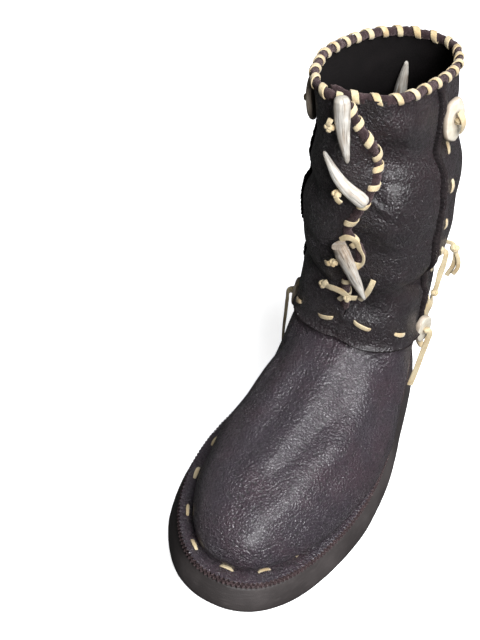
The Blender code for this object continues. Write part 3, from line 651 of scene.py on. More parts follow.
def shell(outer, inner, quads):
    """Closed wall between two sheets with the same faces, and a rim along every free edge. Gives the points,
    the faces, and 0 for the grain side, 1 for the cut rim and 2 for the inner side."""
    count = len(outer)
    start, end = quads.ravel(), np.roll(quads, -1, axis=1).ravel()
    free = ~np.isin(start * count + end, end * count + start)
    start, end = start[free], end[free]
    rim = np.stack([end, start, start + count, end + count], -1)
    faces = np.concatenate([quads, quads[:, ::-1] + count, rim])
    kinds = np.ones(len(faces))
    kinds[: len(quads)] = 0
    kinds[len(quads) : 2 * len(quads)] = 2
    return np.concatenate([outer, inner]), faces, kinds


def build_foot():
    """Grid round the foot: the turned-out toothed edge first, then the rows up to under the hem."""
    share, angle = pinked_turns(TEETH * 4)
    edge = FLANGE + teeth(share, offset=0.125) * TOOTH_DEPTH / 2 - 0.0003
    reach = np.stack([edge, edge - 0.0016, edge * 0.55, edge * 0.25, edge * 0.04])
    plan = footprint(np.broadcast_to(angle, reach.shape), reach)
    base = feather_height(plan[..., 1])
    spots = np.concatenate([plan, base[..., None]], -1)
    lift = ripple(spots, 0.018, 21) * 0.00035 + 0.0003
    lift *= np.array([1.0, 1.0, 0.7, 0.2, 0.0])[:, None]
    dip = np.array([-0.0005, 0.0, 0.0, 0.0, -0.0002])[:, None]
    flange = spots + np.array([0, 0, 1.0]) * (lift + dip)[..., None]
    flange_under = spots + np.array([0, 0, 1.0]) * (lift - WALL * 0.9)[..., None]
    levels = np.concatenate([[0.004, 0.012, 0.025, 0.042, 0.062, 0.085], np.linspace(0.11, 1.045, 44)])
    outer, normal = on_upper(*np.broadcast_arrays(angle, levels[:, None]))
    inner = outer - normal * WALL * 0.8
    inside = footprint(angle, -WALL)
    floor = np.maximum(inner[..., 2], feather_height(inner[..., 1]) - WALL * 0.95)
    inner[..., 2] = np.where(levels[:, None] < 0.1, floor, inner[..., 2])
    outer = np.concatenate([flange, outer])
    inner = np.concatenate([flange_under, inner])
    inner[4, :, :2] = inside
    return shell(outer.reshape(-1, 3), inner.reshape(-1, 3), rings_round(outer))


def inside_painted_shade():
    """Flesh side inside the boot, rubbed flat by the foot; its nearly black colour is painted shade."""
    finish = Finish("inside_painted_shade")
    cloud = finish.noise(0.012, 3)
    fibre = finish.noise(0.0007, 2)
    colour = finish.mix(cloud, (0.0022, 0.0018, 0.0019, 1), (0.0060, 0.0045, 0.0047, 1))
    return finish.surface(colour, 0.9, fibre, 0.0004, Specular_IOR_Level=0.15)


hide = pebbled_hide("pebbled_hide", HIDE, HIDE_RED, HIDE_DARK)
# The inner faces of the leather are nearly black: painted shade inside the boot.
inside = inside_painted_shade()
points, faces, kinds = build_foot()
new_piece("foot_leather", points, faces, [hide, nap, inside], "oiled_leather", "upper", kinds, sharp=55)


# Shaft: two panels of the same hide, a front that is slit down the middle and a back that laps over it at
# both side seams, where its dark napped edge stands up as a rough band. The hem laps over the foot, stands
# off it a little and shows its thin dark cut, pinked with the same shears. The shaft's copy of the hide is
# coloured darker than the foot's: painted shade. The seam bands, the cut rims and a strip along the hem's top
# are deepened to nearly black: partly the dark nap, partly painted shade and painted shadow under the hem.
RIM_HEIGHT = 0.0046
LATERAL_SEAM, MEDIAL_SEAM = 88.0, -72.0
SEAM_WAVE = np.array(
    [
        # level, how far the lateral seam strays to the front, in degrees
        (1.00, 10.0),
        (1.10, 12.0),
        (1.22, 7.0),
        (1.38, 14.0),
        (1.52, 12.0),
        (1.65, 7.0),
        (1.75, 3.0),
        (2.00, 1.0),
    ]
)
FLAP_EDGE = np.array(
    [
        # share of the shaft's height, angle in degrees
        (0.00, 3.0),
        (0.18, 3.0),
        (0.36, 7.0),
        (0.45, 13.0),
        (0.52, 2.0),
        (0.61, 10.0),
        (0.71, 24.0),
        (0.80, 31.0),
        (0.90, 17.0),
        (1.00, 5.0),
    ]
)
FLAP_LAP, FLAP_DIP, NOTCH = 0.026, 0.0066, 0.003
SHAFT_RADIUS = HEEL_WIDTH / 2 * 1.3
SHAFT_TEETH = 58
HEM_TOOTH = 0.0110


def flap_edge(level):
    """Angle of the medial flap's free edge, from its table."""
    return np.radians(soft(np.clip(level - 1, 0, 1), FLAP_EDGE[:, 0], FLAP_EDGE[:, 1]))


def lateral_seam(level):
    """Angle of the lateral seam, which strays to the front as its table says."""
    return np.radians(LATERAL_SEAM - soft(level, SEAM_WAVE[:, 0], SEAM_WAVE[:, 1]))


def shaft_levels():
    """Rows of the shaft in equal steps, four to a tooth of the side seams."""
    return np.linspace(1.0, 2.0 - 0.0025 / (COLLAR_FRONT - HEM_FRONT), SHAFT_TEETH * 4 + 1)


def edge_lift(away, spots, seed):
    """How far a pinked edge stands off: highest at the edge, gone 6 mm behind it, uneven along it."""
    return np.exp(-((away / 0.0028) ** 2)) * (0.0007 + ripple(spots, 0.022, seed) * 0.0004)


def build_front():
    """Grid from the medial seam to the flap's free edge and on to the lateral seam. Above the slit the two
    sides part: the medial one lies on top and the lateral one dives under it, with a strip that runs on."""
    levels = shaft_levels()
    rows = len(levels)
    medial_count, lateral_count, lap_count = 96, 96, 22
    edge = flap_edge(levels)[:, None]
    seam = lateral_seam(levels)[:, None] + math.radians(9)
    start = math.radians(MEDIAL_SEAM - 8)
    medial = start + (edge - start) * np.linspace(0, 1, medial_count)
    lateral = edge + (seam - edge) * np.linspace(0, 1, lateral_count)
    apart = ease((levels[:, None] - SLIT_LEVEL - 0.012) / 0.07)
    dive = apart * ease(1 - (lateral - edge) / math.radians(34))
    lateral = lateral + dive * NOTCH / SHAFT_RADIUS
    angle = np.concatenate([medial, lateral], 1)
    level = np.broadcast_to(levels[:, None], angle.shape).copy()
    tooth = 4 * np.abs((angle * SHAFT_RADIUS * 1.25 / TOOTH) % 1 - 0.5) - 1
    level[0] = 1.0 + tooth[0] * HEM_TOOTH / 2
    level[1] = 1.0 + HEM_TOOTH / 2 + 0.002
    out = np.full(angle.shape, LAYER)
    hem_away = (level - 1.0) * (COLLAR_FRONT - HEM_FRONT)
    spots = upper_place(angle, level)[0]
    out += edge_lift(hem_away, spots, 31) * 3.2
    out[:, medial_count:] -= dive * FLAP_DIP
    outer, normal = on_upper(angle, level)
    inner = outer + normal * (out - LAYER * 0.96)[..., None]
    outer = outer + normal * out[..., None]
    columns = angle.shape[1]
    number = np.arange(rows * columns).reshape(rows, columns)
    split = int(np.searchsorted(levels, SLIT_LEVEL))
    number[: split + 1, medial_count] = number[: split + 1, medial_count - 1]
    left = quads_of(number[:, :medial_count])
    right = quads_of(number[:, medial_count:])
    steps = np.arange(lap_count, 0, -1) / lap_count * FLAP_LAP / SHAFT_RADIUS
    lap_angle = lateral[split:, :1] - steps[None] * ease((levels[split:, None] - SLIT_LEVEL) / 0.05 + 0.15)
    lap_level = np.broadcast_to(levels[split:, None], lap_angle.shape)
    lap, lap_normal = on_upper(lap_angle, lap_level)
    sunk = (out[split:, medial_count] - 0.0004)[:, None] * np.ones(lap_angle.shape)
    sunk -= 0.0045 * (1 - apart[split:]) * np.ones(lap_angle.shape)
    lap_inner = lap + lap_normal * (sunk - LAYER * 0.96)[..., None]
    lap = lap + lap_normal * sunk[..., None]
    below = rows * columns + np.arange(lap_angle.size).reshape(lap_angle.shape)
    strip = quads_of(np.c_[below, number[split:, medial_count]])
    quads = np.concatenate([left, right, strip])
    outer = np.concatenate([outer.reshape(-1, 3), lap.reshape(-1, 3)])
    inner = np.concatenate([inner.reshape(-1, 3), lap_inner.reshape(-1, 3)])
    used, faces = np.unique(quads, return_inverse=True)
    points, faces, kinds = shell(outer[used], inner[used], faces.reshape(-1, 4))
    # The strip along the hem's top edge takes the near-black nap: partly the thin cut edge, partly painted
    # shadow under the hem.
    kinds[: medial_count - 1] = 1
    kinds[len(left) : len(left) + lateral_count - 1] = 1
    return points, faces, kinds


def build_back():
    """Grid from the lateral seam round the back to the medial seam, toothed at both sides and at the hem."""
    levels = shaft_levels()
    columns = 150
    share = np.linspace(0, 1, columns)[None]
    bite = teeth(np.arange(len(levels)) / 4, 1) * TOOTH_DEPTH / 2 / SHAFT_RADIUS
    start = (lateral_seam(levels) - bite - math.radians(1.0))[:, None]
    end = (np.radians(360 + MEDIAL_SEAM) + bite + math.radians(1.0))[:, None]
    angle = start + (end - start) * share
    level = np.broadcast_to(levels[:, None], angle.shape).copy()
    tooth = teeth(np.arange(columns) / 2, 1)
    level[0] = 1.0 + tooth * HEM_TOOTH * 0.8 - 0.004
    level[1] = 1.0 + HEM_TOOTH / 2 + 0.002
    away = np.minimum(angle - start, end - angle) * SHAFT_RADIUS
    spots = upper_place(angle, level)[0]
    out = LAYER * 2 + edge_lift(away, spots, 32) + edge_lift((level - 1) * 0.2, spots, 33)
    out -= LAYER * 0.55 * ease((away - 0.010) / 0.008)
    outer, normal = on_upper(angle, level)
    inner = outer + normal * (out - LAYER * 0.96)[..., None]
    outer = outer + normal * out[..., None]
    number = np.arange(level.size).reshape(level.shape)
    return shell(outer.reshape(-1, 3), inner.reshape(-1, 3), quads_of(number))


def build_seam_edge(turned, levels, half, seed):
    """Napped edge of the back panel that stands up along a seam: a rough strip, toothed at both sides."""
    centre, normal = on_upper(turned, levels)
    side = np.cross(unit(np.gradient(centre, axis=0)), normal)
    run = walked(centre)
    across = np.linspace(-1, 1, 9)
    wide = half * (1 + 0.16 * teeth(run / 0.0030, 1) + 0.22 * ripple(centre, 0.014, seed))
    spots = centre[:, None] + side[:, None] * across[None, :, None] * wide[:, None, None]
    rough = ripple(spots, 0.006, seed + 1) * 0.0004 + ripple(spots, 0.020, seed + 2) * 0.0004
    rise = LAYER * 1.8 + 0.0014 * (1 - across[None] ** 2) + rough
    outer, inner = spots + normal[:, None] * rise[..., None], spots + normal[:, None] * LAYER * 0.9
    number = np.arange(outer[..., 0].size).reshape(outer.shape[:2])
    return shell(outer.reshape(-1, 3), inner.reshape(-1, 3), quads_of(number)[:, ::-1])


# Near-black nap for the shaft's cut rims, seam bands and hem strip: the flesh side's own dark colour, deepened
# as painted shade.
nap_dark_shaded = suede("suede_dark_shaded", (0.0030, 0.0020, 0.0024, 1), (0.015, 0.0105, 0.0115, 1), 0.08)
shaft_leather_shaded = pebbled_hide("shaft_leather_shaded", SHADED_SHAFT_TONE, SHADED_SHAFT_RED, SHADED_SHAFT_DARK)
for name, build in (("shaft_front", build_front), ("shaft_back", build_back)):
    points, faces, kinds = build()
    sides = [shaft_leather_shaded, nap_dark_shaded, inside]
    new_piece(name, points, faces, sides, "oiled_leather", "upper", kinds, sharp=55)
# The raised seam bands wear the near-black nap: partly their own colour, partly painted shade beside the
# raised edge.
seam_levels = np.linspace(1.004, 1.985, 420)
for name, turned, half, seed in (
    ("seam_edge_lateral", lateral_seam(seam_levels) + math.radians(0.4), 0.0034, 51),
    ("seam_edge_medial", np.full(420, math.radians(360 + MEDIAL_SEAM - 1.2)), 0.0020, 55),
):
    points, faces, kinds = build_seam_edge(turned, seam_levels, half, seed)
    new_piece(name, points, faces, [nap_dark_shaded], "suede_edge", "upper", sharp=60)


# Lace: strips of buckskin about 4 mm wide, pulled tight in running stitches through two layers. Each comes up
# through a pricked hole, lies flat and goes down again. The seams and the turned-out edge are sewn with it.
LACE, LACE_THICK = 0.0040, 0.0012
SOLE_STITCHES, SOLE_FIRST, SOLE_STITCH = 21, 0.0033, 0.0118
BUCKSKIN = (0.46, 0.345, 0.185, 1)
BUCKSKIN_PALE = (0.56, 0.475, 0.305, 1)
BUCKSKIN_BROWN = (0.25, 0.155, 0.080, 1)
HEM_STITCHES = (-62, -38, -9, 15, 43, 104, 131, 158, 185, 212, 239, 264)
HEM_LINE = ((-72, -30, -9, 15, 43, 72, 180, 288), (1.06, 1.055, 1.075, 1.098, 1.062, 1.05, 1.05, 1.06))
HEM_LEAN = ((-9, 15, 43), (0.02, -0.025, -0.018))
LATERAL_STITCHES = (
    (1.075, 1.125),
    (1.215, 1.265),
    (1.345, 1.395),
    (1.462, 1.512),
    (1.592, 1.65),
    (1.712, 1.765),
)
MEDIAL_STITCHES = ((1.09, 1.14), (1.22, 1.27), (1.35, 1.40), (1.48, 1.53), (1.61, 1.66), (1.74, 1.79))


def buckskin():
    """Smoke-tanned buckskin: short nap, pale on top and browner at the edges and where hands have been."""
    finish = Finish("buckskin")
    nap_grain = finish.noise(0.0006, 3)
    stain = finish.noise(0.009, 3)
    colour = finish.mix(stain.step(0.4, 0.72), BUCKSKIN_PALE, BUCKSKIN)
    colour = finish.mix(finish.noise(0.004, 3).step(0.58, 0.85) * 0.6, colour, BUCKSKIN_BROWN)
    colour = finish.mix(nap_grain.step(0.35, 0.7) * 0.25, colour, BUCKSKIN_BROWN)
    height = nap_grain * 1.0 + stain * 0.6
    return finish.surface(colour, 0.85, height, 0.00035, Sheen_Weight=0.2, Specular_IOR_Level=0.3)


def ribbon(path, upward, half_width, half_thick, closed=False, corners=10, squareness=0.72):
    """Flat cord swept along a path: a superellipse that lies square to the path, its thickness along upward.
    An open one is closed at each end by a last ring drawn in to a point."""
    path = np.asarray(path, float)
    upward = np.broadcast_to(np.asarray(upward, float), path.shape)
    if closed:
        ahead = np.roll(path, -1, 0) - np.roll(path, 1, 0)
    else:
        ahead = np.gradient(path, axis=0)
    ahead = unit(ahead)
    side = unit(np.cross(ahead, upward))
    thick = np.cross(side, ahead)
    turn = np.linspace(0, 2 * np.pi, corners, endpoint=False)
    c, s = np.cos(turn), np.sin(turn)
    c, s = np.sign(c) * np.abs(c) ** squareness, np.sign(s) * np.abs(s) ** squareness
    wide = np.broadcast_to(half_width, len(path))[:, None, None]
    deep = np.broadcast_to(half_thick, len(path))[:, None, None]
    rings = path[:, None] + side[:, None] * c[None, :, None] * wide
    rings = rings + thick[:, None] * s[None, :, None] * deep
    if closed:
        rings = np.concatenate([rings, rings[:1]])
    else:
        tips = [np.repeat(rings[i : i + 1].mean(1, keepdims=True), corners, 1) for i in (0, len(path) - 1)]
        near = [rings[:1] * 0.6 + tips[0] * 0.4 - ahead[0] * deep[0] * 0.4]
        near += [rings[-1:] * 0.6 + tips[1] * 0.4 + ahead[-1] * deep[-1] * 0.4]
        first, last = tips[0] - ahead[0] * deep[0] * 0.5, tips[1] + ahead[-1] * deep[-1] * 0.5
        rings = np.concatenate([first, near[0], rings, near[1], last])
    return rings.reshape(-1, 3), rings_round(rings)[:, ::-1]


def joined(parts):
    """Several lots of points and faces as one."""
    start = np.cumsum([0] + [len(points) for points, _ in parts])
    points = np.concatenate([points for points, _ in parts])
    return points, np.concatenate([faces + first for (_, faces), first in zip(parts, start)])


def running_stitch(spots, upward, dice, broad=1.0):
    """Lace through the points of a stitch: sunk at both ends, domed between, one edge a bit higher."""
    count = len(spots)
    share = np.linspace(0, 1, count)
    dome = np.array([-0.0026, -0.0004, 0.0008, 0.0012, 0.0008, -0.0004, -0.0026])
    rise = np.interp(share, [0, 0.10, 0.24, 0.5, 0.76, 0.90, 1], dome)
    tilt = dice.uniform(-0.22, 0.22)
    along = spots[-1] - spots[0]
    side = np.cross(unit(along), upward)
    width = LACE / 2 * broad * (0.45 + 0.5 * np.sin(np.pi * share) ** 0.6) * dice.uniform(0.8, 1.05)
    return ribbon(spots + upward * rise[:, None], upward + side * tilt, width, LACE_THICK / 2)


def sole_stitches():
    """Running stitches along the turned-out edge, close beside the foot."""
    dice = np.random.default_rng(5)
    fine = np.linspace(0, 1, 4001)
    plan = footprint(fine * 2 * np.pi, FLANGE)
    run = walked(plan)
    parts = []
    for k in range(SOLE_STITCHES):
        middle = (SOLE_FIRST + k / SOLE_STITCHES) * run[-1] + dice.uniform(-0.001, 0.001)
        half = SOLE_STITCH / 2 * dice.uniform(0.9, 1.1)
        share = np.interp((middle + np.linspace(-half, half, 15)) % run[-1], run, fine)
        signed = (share + 0.5) % 1 - 0.5
        under = ease((signed + 0.05) / 0.03) * ease((0.34 - signed) / 0.05)
        flat = footprint(share * 2 * np.pi, FLANGE * (0.42 - 0.32 * under))
        spots = np.c_[flat, feather_height(flat[:, 1]) + 0.0003]
        parts.append(running_stitch(spots, np.broadcast_to([0.0, 0.0, 1.0], spots.shape), dice, 0.72))
    return parts


def seam_stitches():
    """Running stitches round the hem and up the back panel beside both side seams."""
    dice = np.random.default_rng(6)
    share = np.linspace(-0.5, 0.5, 15)
    runs = []
    for angle in HEM_STITCHES:
        level = np.interp(angle, *HEM_LINE)
        lean = np.interp(angle, *HEM_LEAN)
        runs.append((np.radians(angle + share * 12.5), level + share * lean, 1))
    for low, high in LATERAL_STITCHES:
        level = (low + high) / 2 + share * (high - low)
        runs.append((lateral_seam(level) + math.radians(8.5), level, 2))
    for low, high in MEDIAL_STITCHES:
        level = (low + high) / 2 + share * (high - low)
        runs.append((np.full(15, math.radians(360 + MEDIAL_SEAM - 8.5)), level, 2))
    parts = []
    for angle, level, layers in runs:
        on_back = layers == 2 or 90 < math.degrees(angle.mean()) < 285
        spots, out = on_upper(angle, level, LAYER * (1.8 if on_back else 1.0))
        parts.append(running_stitch(spots, out, dice))
    return parts


thong = buckskin()
new_piece("running_stitches", *joined(sole_stitches() + seam_stitches()), [thong], "buckskin", weld=True)


# Rolled edge: up the medial flap and round the collar the hide is turned over, flesh side out, and bound with
# lace in slanted whip stitches that pinch it. The same edge runs on a little way under the flap.
RIM_HALF, RIM_THICK, RIM_STEP = 0.0029, 0.0024, 0.0009
COLLAR_STITCHES = 26
FLAP_STITCHES = (1.235, 1.315, 1.405, 1.49, 1.575, 1.645, 1.715, 1.775, 1.825, 1.872, 1.92, 1.962)


def along_line(at, run, points):
    """Points of a line at given distances, each coordinate read off in straight steps."""
    return np.stack([np.interp(at, run, points[:, i]) for i in range(3)], -1)


def rolled_edge():
    """Middle line of the rolled edge with its outward and edgeward directions, and where the stitches are."""
    level = np.linspace(1.13, 1.985, 260)
    flap_angle = flap_edge(level)
    collar_angle = np.linspace(math.radians(4.0), math.radians(-386.0), 420)
    collar_level = np.full(420, 1.987)
    angle = np.concatenate([flap_angle, collar_angle])
    at = np.concatenate([level, collar_level])
    turned = np.degrees(-collar_angle)
    back_share = ease((turned - 70) / 4) * ease((276 - turned) / 4)
    apart = ease((turned - 310) / 30)
    collar_out = LAYER * (0.5 + 0.5 * back_share) - apart * (FLAP_DIP - 0.0004)
    out = np.concatenate([np.full(260, LAYER * 0.5), collar_out])
    points, normal = on_upper(angle, at)
    points = points + normal * out[:, None]
    run = walked(points)
    even = np.arange(0, run[-1], RIM_STEP)
    bell = np.exp(-(np.arange(-8, 9) ** 2) / 18.0)
    bell /= bell.sum()

    def smoothed(ways):
        ways = along_line(even, run, ways)
        return np.stack([np.convolve(np.pad(ways[:, i], 8, "edge"), bell, "valid") for i in range(3)], -1)

    points, normal = smoothed(points), smoothed(normal)
    corner = run[259]
    last = np.interp(math.radians(349), -collar_angle, run[260:])
    on_flap = np.interp(FLAP_STITCHES, level, run[:260])
    on_collar = np.linspace(corner + 0.005, last, COLLAR_STITCHES)
    holes = np.interp(np.concatenate([on_flap, on_collar]), even, np.arange(len(even)))
    ahead = unit(np.gradient(points, axis=0))
    edgeward = unit(np.cross(ahead, normal))
    outward = np.cross(edgeward, ahead)
    return points, outward, edgeward, holes


def build_rim():
    """Sweep of a flattened round, lumpy, toothed at its lower outer side and pinched at every stitch."""
    middle, outward, edgeward, holes = rolled_edge()
    count = len(middle)
    turn = np.linspace(0, 2 * np.pi, 20, endpoint=False)
    pinch = np.exp(-(((np.arange(count)[:, None] - holes[None]) / 2.6) ** 2)).max(1)
    ends = ease(np.minimum(np.arange(count), count - 1 - np.arange(count)) / 5.0)
    size = (1 - 0.14 * pinch) * (0.35 + 0.65 * ends)
    cut = np.clip(np.cos(turn + 0.9), 0, 1) ** 3
    bite = teeth(np.arange(count) * RIM_STEP / TOOTH, 1)
    c, s = np.cos(turn)[None] * RIM_THICK, np.sin(turn)[None] * RIM_HALF - 0.0006
    bulk = outward[:, None] * c[..., None] + edgeward[:, None] * s[..., None]
    body = middle[:, None] + bulk * size[:, None, None]
    push = ripple(body, 0.010, 41) * 0.00045 + ripple(body, 0.0035, 42) * 0.00028
    push += bite[:, None] * cut[None] * 0.00045
    body += unit(body - middle[:, None]) * push[..., None]
    tips = [np.repeat(body[i : i + 1].mean(1, keepdims=True), 20, 1) for i in (0, count - 1)]
    body = np.concatenate([tips[0], body, tips[1]])
    return body.reshape(-1, 3), rings_round(body)


def whip_stitches():
    """Lace that comes out of a hole below the rolled edge, slants up over it and goes in behind."""
    middle, outward, edgeward, holes = rolled_edge()
    dice = np.random.default_rng(7)
    share = np.linspace(0, 1, 24)
    turn = np.radians(-78 + 336 * share)
    steps = np.arange(len(middle))
    sunk = 1 - 0.55 * np.exp(-((np.minimum(share, 1 - share) / 0.05) ** 2))
    parts = []
    for hole in holes:
        lean = dice.uniform(2.8, 5.2)
        spot = np.clip(hole + lean * (2 * share - 1), 1, len(middle) - 2)
        at, out, up = [along_line(spot, steps, way) for way in (middle, outward, edgeward)]
        c = np.cos(turn) * (RIM_THICK + LACE_THICK * 0.3) * sunk
        s = np.sin(turn) * (RIM_HALF + LACE_THICK * 0.4) * (0.6 + 0.4 * sunk) - 0.0006
        bulk = out * c[:, None] + up * s[:, None]
        width = LACE / 2 * dice.uniform(0.85, 1.08) * (0.72 + 0.28 * np.sin(np.pi * share) ** 0.5)
        parts.append(ribbon(at + bulk, bulk, width, LACE_THICK * 0.42))
    return parts


new_piece("rolled_edge", *build_rim(), [nap], "suede_edge", "upper", sharp=70, weld=True)
new_piece("whip_stitches", *joined(whip_stitches()), [thong], "buckskin", weld=True)


# Antler tips: three tines of deer antler, rounded at the thick end and worn smooth, though the lowest keeps
# its flat sawn end. Grey-brown grooves run down them. A smaller tip hangs inside the shaft at the back.
ANTLER_TAPER = np.array(
    [
        # share of the length, share of the radius
        (0.000, 0.30),
        (0.015, 0.62),
        (0.040, 0.86),
        (0.100, 1.00),
        (0.280, 0.97),
        (0.500, 0.84),
        (0.720, 0.62),
        (0.900, 0.37),
        (0.970, 0.24),
        (1.000, 0.06),
    ]
)
ANTLERS = (
    # node, thick end, middle and tip in mm, diameter, seed
    ("toggle_top", (-17.6, -9.4, 284.5), (-13.6, -9.65, 264.7), (-7.6, -9.6, 245.3), 9.2, 1),
    ("toggle_middle", (7.2, -7.8, 221.7), (-9.6, -8.1, 231.0), (-23.4, -8.0, 247.5), 8.4, 2),
    ("toggle_bottom", (-4.7, -8.5, 189.0), (5.5, -3.4, 167.9), (15.7, 1.9, 146.8), 9.2, 3),
    ("inner_tip", (-15.3, 109.0, 223.6), (-15.3, 109.0, 238.6), (-15.3, 109.0, 253.6), 8.5, 4),
)
BONE = (0.40, 0.375, 0.33, 1)
BONE_WHITE = (0.53, 0.51, 0.465, 1)
BARK = (0.115, 0.085, 0.062, 1)
BARK_PALE = (0.30, 0.235, 0.175, 1)


def antler(name, darkness, bark):
    """Polished antler: off-white, with streaks of bark along its grooves and fine pores, and more bark near
    the sawn end. The streaks follow the piece's own length, so they read its UV map."""
    finish = Finish(name)
    flow = finish.node("ShaderNodeUVMap", {"uv_map": "flow"})
    streak = finish.noise(1.0, 4, finish.stretched(flow, (9.0, 2.2, 1.0)), twist=0.4)
    groove = finish.noise(1.0, 3, finish.stretched(flow, (26.0, 2.6, 1.0)), twist=0.3)
    cloud = finish.noise(0.008, 3)
    pore = finish.cells(0.0007)
    share = finish.node("ShaderNodeSeparateXYZ", None, {0: flow}, 1)
    sawn = (1 - share.step(0.02, 0.42)) * bark
    colour = finish.mix(cloud.step(0.35, 0.65), BONE, BONE_WHITE)
    colour = finish.mix(streak.step(0.46, 0.68) * darkness, colour, BARK_PALE)
    colour = finish.mix((groove + sawn * 0.12).step(0.54, 0.70) * darkness * 0.9, colour, BARK)
    colour = finish.mix(sawn * (streak.step(0.3, 0.6) * 0.7 + 0.2), colour, BARK_PALE)
    colour = finish.mix((1 - pore.step(0.0, 0.22)) * 0.25, colour, BARK_PALE)
    height = (1 - groove.step(0.5, 0.75)) * 1.0 + streak * 0.4 + pore.step(0.0, 0.2) * 0.15
    return finish.surface(colour, 0.42 + streak * 0.25, height, 0.0004, Coat_Weight=0.15, Coat_Roughness=0.35)


def build_antler(thick_end, middle, tip, diameter, seed):
    """Round sweep with the taper of a tine. Shallow flutes run along it and fade out towards the tip."""
    rows, columns = 56, 32
    share = np.concatenate([np.linspace(0, 0.1, 10, endpoint=False), np.linspace(0.1, 1, rows - 10)])
    line = soft_line(np.array([thick_end, middle, tip]) / 1000, 200)
    path = along_line(share, np.linspace(0, 1, 200), line)
    ahead = unit(np.gradient(path, axis=0))
    first = unit(np.cross(ahead, [0.3, 1.0, 0.2]))
    second = np.cross(ahead, first)
    turn = np.linspace(0, 2 * np.pi, columns + 1)
    radius = soft(share, ANTLER_TAPER[:, 0], ANTLER_TAPER[:, 1])[:, None] * diameter / 2000
    if seed == 3:
        radius = np.where(share[:, None] < 0.12, 0.94 * diameter / 2000, radius)
    dice = np.random.default_rng(seed)
    flute = 0
    for n in (2, 3, 5, 8, 11):
        flute = flute + dice.uniform(0.3, 1) * np.cos(turn * n + dice.uniform(0, 6.3) + share[:, None] * 1.5)
    radius = radius * (1 + flute * 0.022 * (1 - share[:, None] * 0.7))
    body = path[:, None] + first[:, None] * (np.cos(turn) * radius)[..., None]
    body = body + second[:, None] * (np.sin(turn) * radius)[..., None]
    body += ripple(body, 0.012, seed + 60)[..., None] * first[:, None] * 0.0002
    body[:, -1] = body[:, 0]
    body[0], body[-1] = body[0, :-1].mean(0), body[-1, :-1].mean(0)
    flow = np.stack(np.broadcast_arrays(turn / (2 * np.pi) + seed * 3.1, share[:, None]), -1)
    number = np.arange(rows * (columns + 1)).reshape(rows, columns + 1)
    return body.reshape(-1, 3), quads_of(number), flow.reshape(-1, 2)


tine = antler("antler_tine", 0.75, 0.0)
tine_rough = antler("antler_tine_rough", 0.9, 0.9)
for node, *ends, diameter, seed in ANTLERS:
    points, faces, flow = build_antler(*ends, diameter, seed)
    bone = tine_rough if seed == 3 else tine
    new_piece(node + "_antler", points, faces, [bone], "antler", node, flow=flow, weld=True)


# Antler slices: thin slanting cuts across an antler, polished, with the bark left as a brown line round the
# rim and one drilled hole. They cap the ends of the side seams, held by a knotted lace.
SLICES = (
    # name, degrees it is turned about the upright, degrees it leans to the front in its own plane
    ("lateral_upper", -12.0, 6.0),
    ("medial_upper", 0.0, 0.0),
    ("lateral_lower", -24.0, 20.0),
    ("medial_lower", 0.0, 0.0),
)
SLICE_HOLE = 0.0021
SLICE_PROFILE = np.array(
    [
        # share of the way from the hole to the rim, share of half the thickness
        (0.0, -1.0),
        (0.0, 1.0),
        (0.04, 1.0),
        (0.35, 1.02),
        (0.7, 1.02),
        (0.90, 0.95),
        (0.965, 0.72),
        (1.0, 0.2),
        (1.0, -0.3),
        (0.97, -0.8),
        (0.9, -1.0),
        (0.45, -1.0),
    ]
)


def slice_frame(name, turned, lean):
    """Middle of a packed slice with its long, short and through directions, from the spread of its points."""
    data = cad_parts["button_" + name].data
    spots = np.zeros(len(data.vertices) * 3, np.float32)
    data.vertices.foreach_get("co", spots)
    spots = np.unique(spots.reshape(-1, 3).round(6), axis=0).astype(float)
    ways = np.linalg.svd(spots - spots.mean(0))[2]
    middle = spots.mean(0)
    out = ways[2] * np.sign(ways[2] @ (middle - np.array([-0.005, 0.06, middle[2]])))
    long = ways[0] * np.sign(ways[0][2])
    across = np.cross(long, out)
    half = [np.abs((spots - middle) @ way).max() for way in (long, across, out)]
    middle = middle + out * abs(math.sin(math.radians(turned))) * half[1] * 0.5
    c, s = math.cos(math.radians(turned)), math.sin(math.radians(turned))
    about = np.array([[c, s, 0], [-s, c, 0], [0, 0, 1]])
    out, across, long = out @ about, across @ about, long @ about
    c, s = math.cos(math.radians(lean)), math.sin(math.radians(lean))
    return middle, long * c - across * s, across * c + long * s, out, half


def slice_face():
    """Cut face of antler: cream-white, with a faint darker pith near the hole, pores and a brown bark rim."""
    finish = Finish("antler_slice")
    flow = finish.node("ShaderNodeUVMap", {"uv_map": "flow"})
    away = finish.node("ShaderNodeSeparateXYZ", None, {0: flow})
    pore = finish.cells(0.0009)
    cloud = finish.noise(0.005, 4, twist=0.5)
    colour = finish.mix(cloud.step(0.35, 0.7), (0.60, 0.565, 0.48, 1), (0.50, 0.455, 0.36, 1))
    colour = finish.mix((1 - away.step(0.30, 0.46)) * 0.35, colour, (0.42, 0.33, 0.22, 1))
    colour = finish.mix((away + cloud * 0.12).step(0.985, 1.03) * 0.75, colour, BARK_PALE)
    colour = finish.mix((1 - pore.step(0.0, 0.2)) * 0.3, colour, BARK_PALE)
    height = pore.step(0.0, 0.25) * 0.5 + cloud * 0.8
    return finish.surface(colour, 0.45 + cloud * 0.2, height, 0.00025, Coat_Weight=0.1)


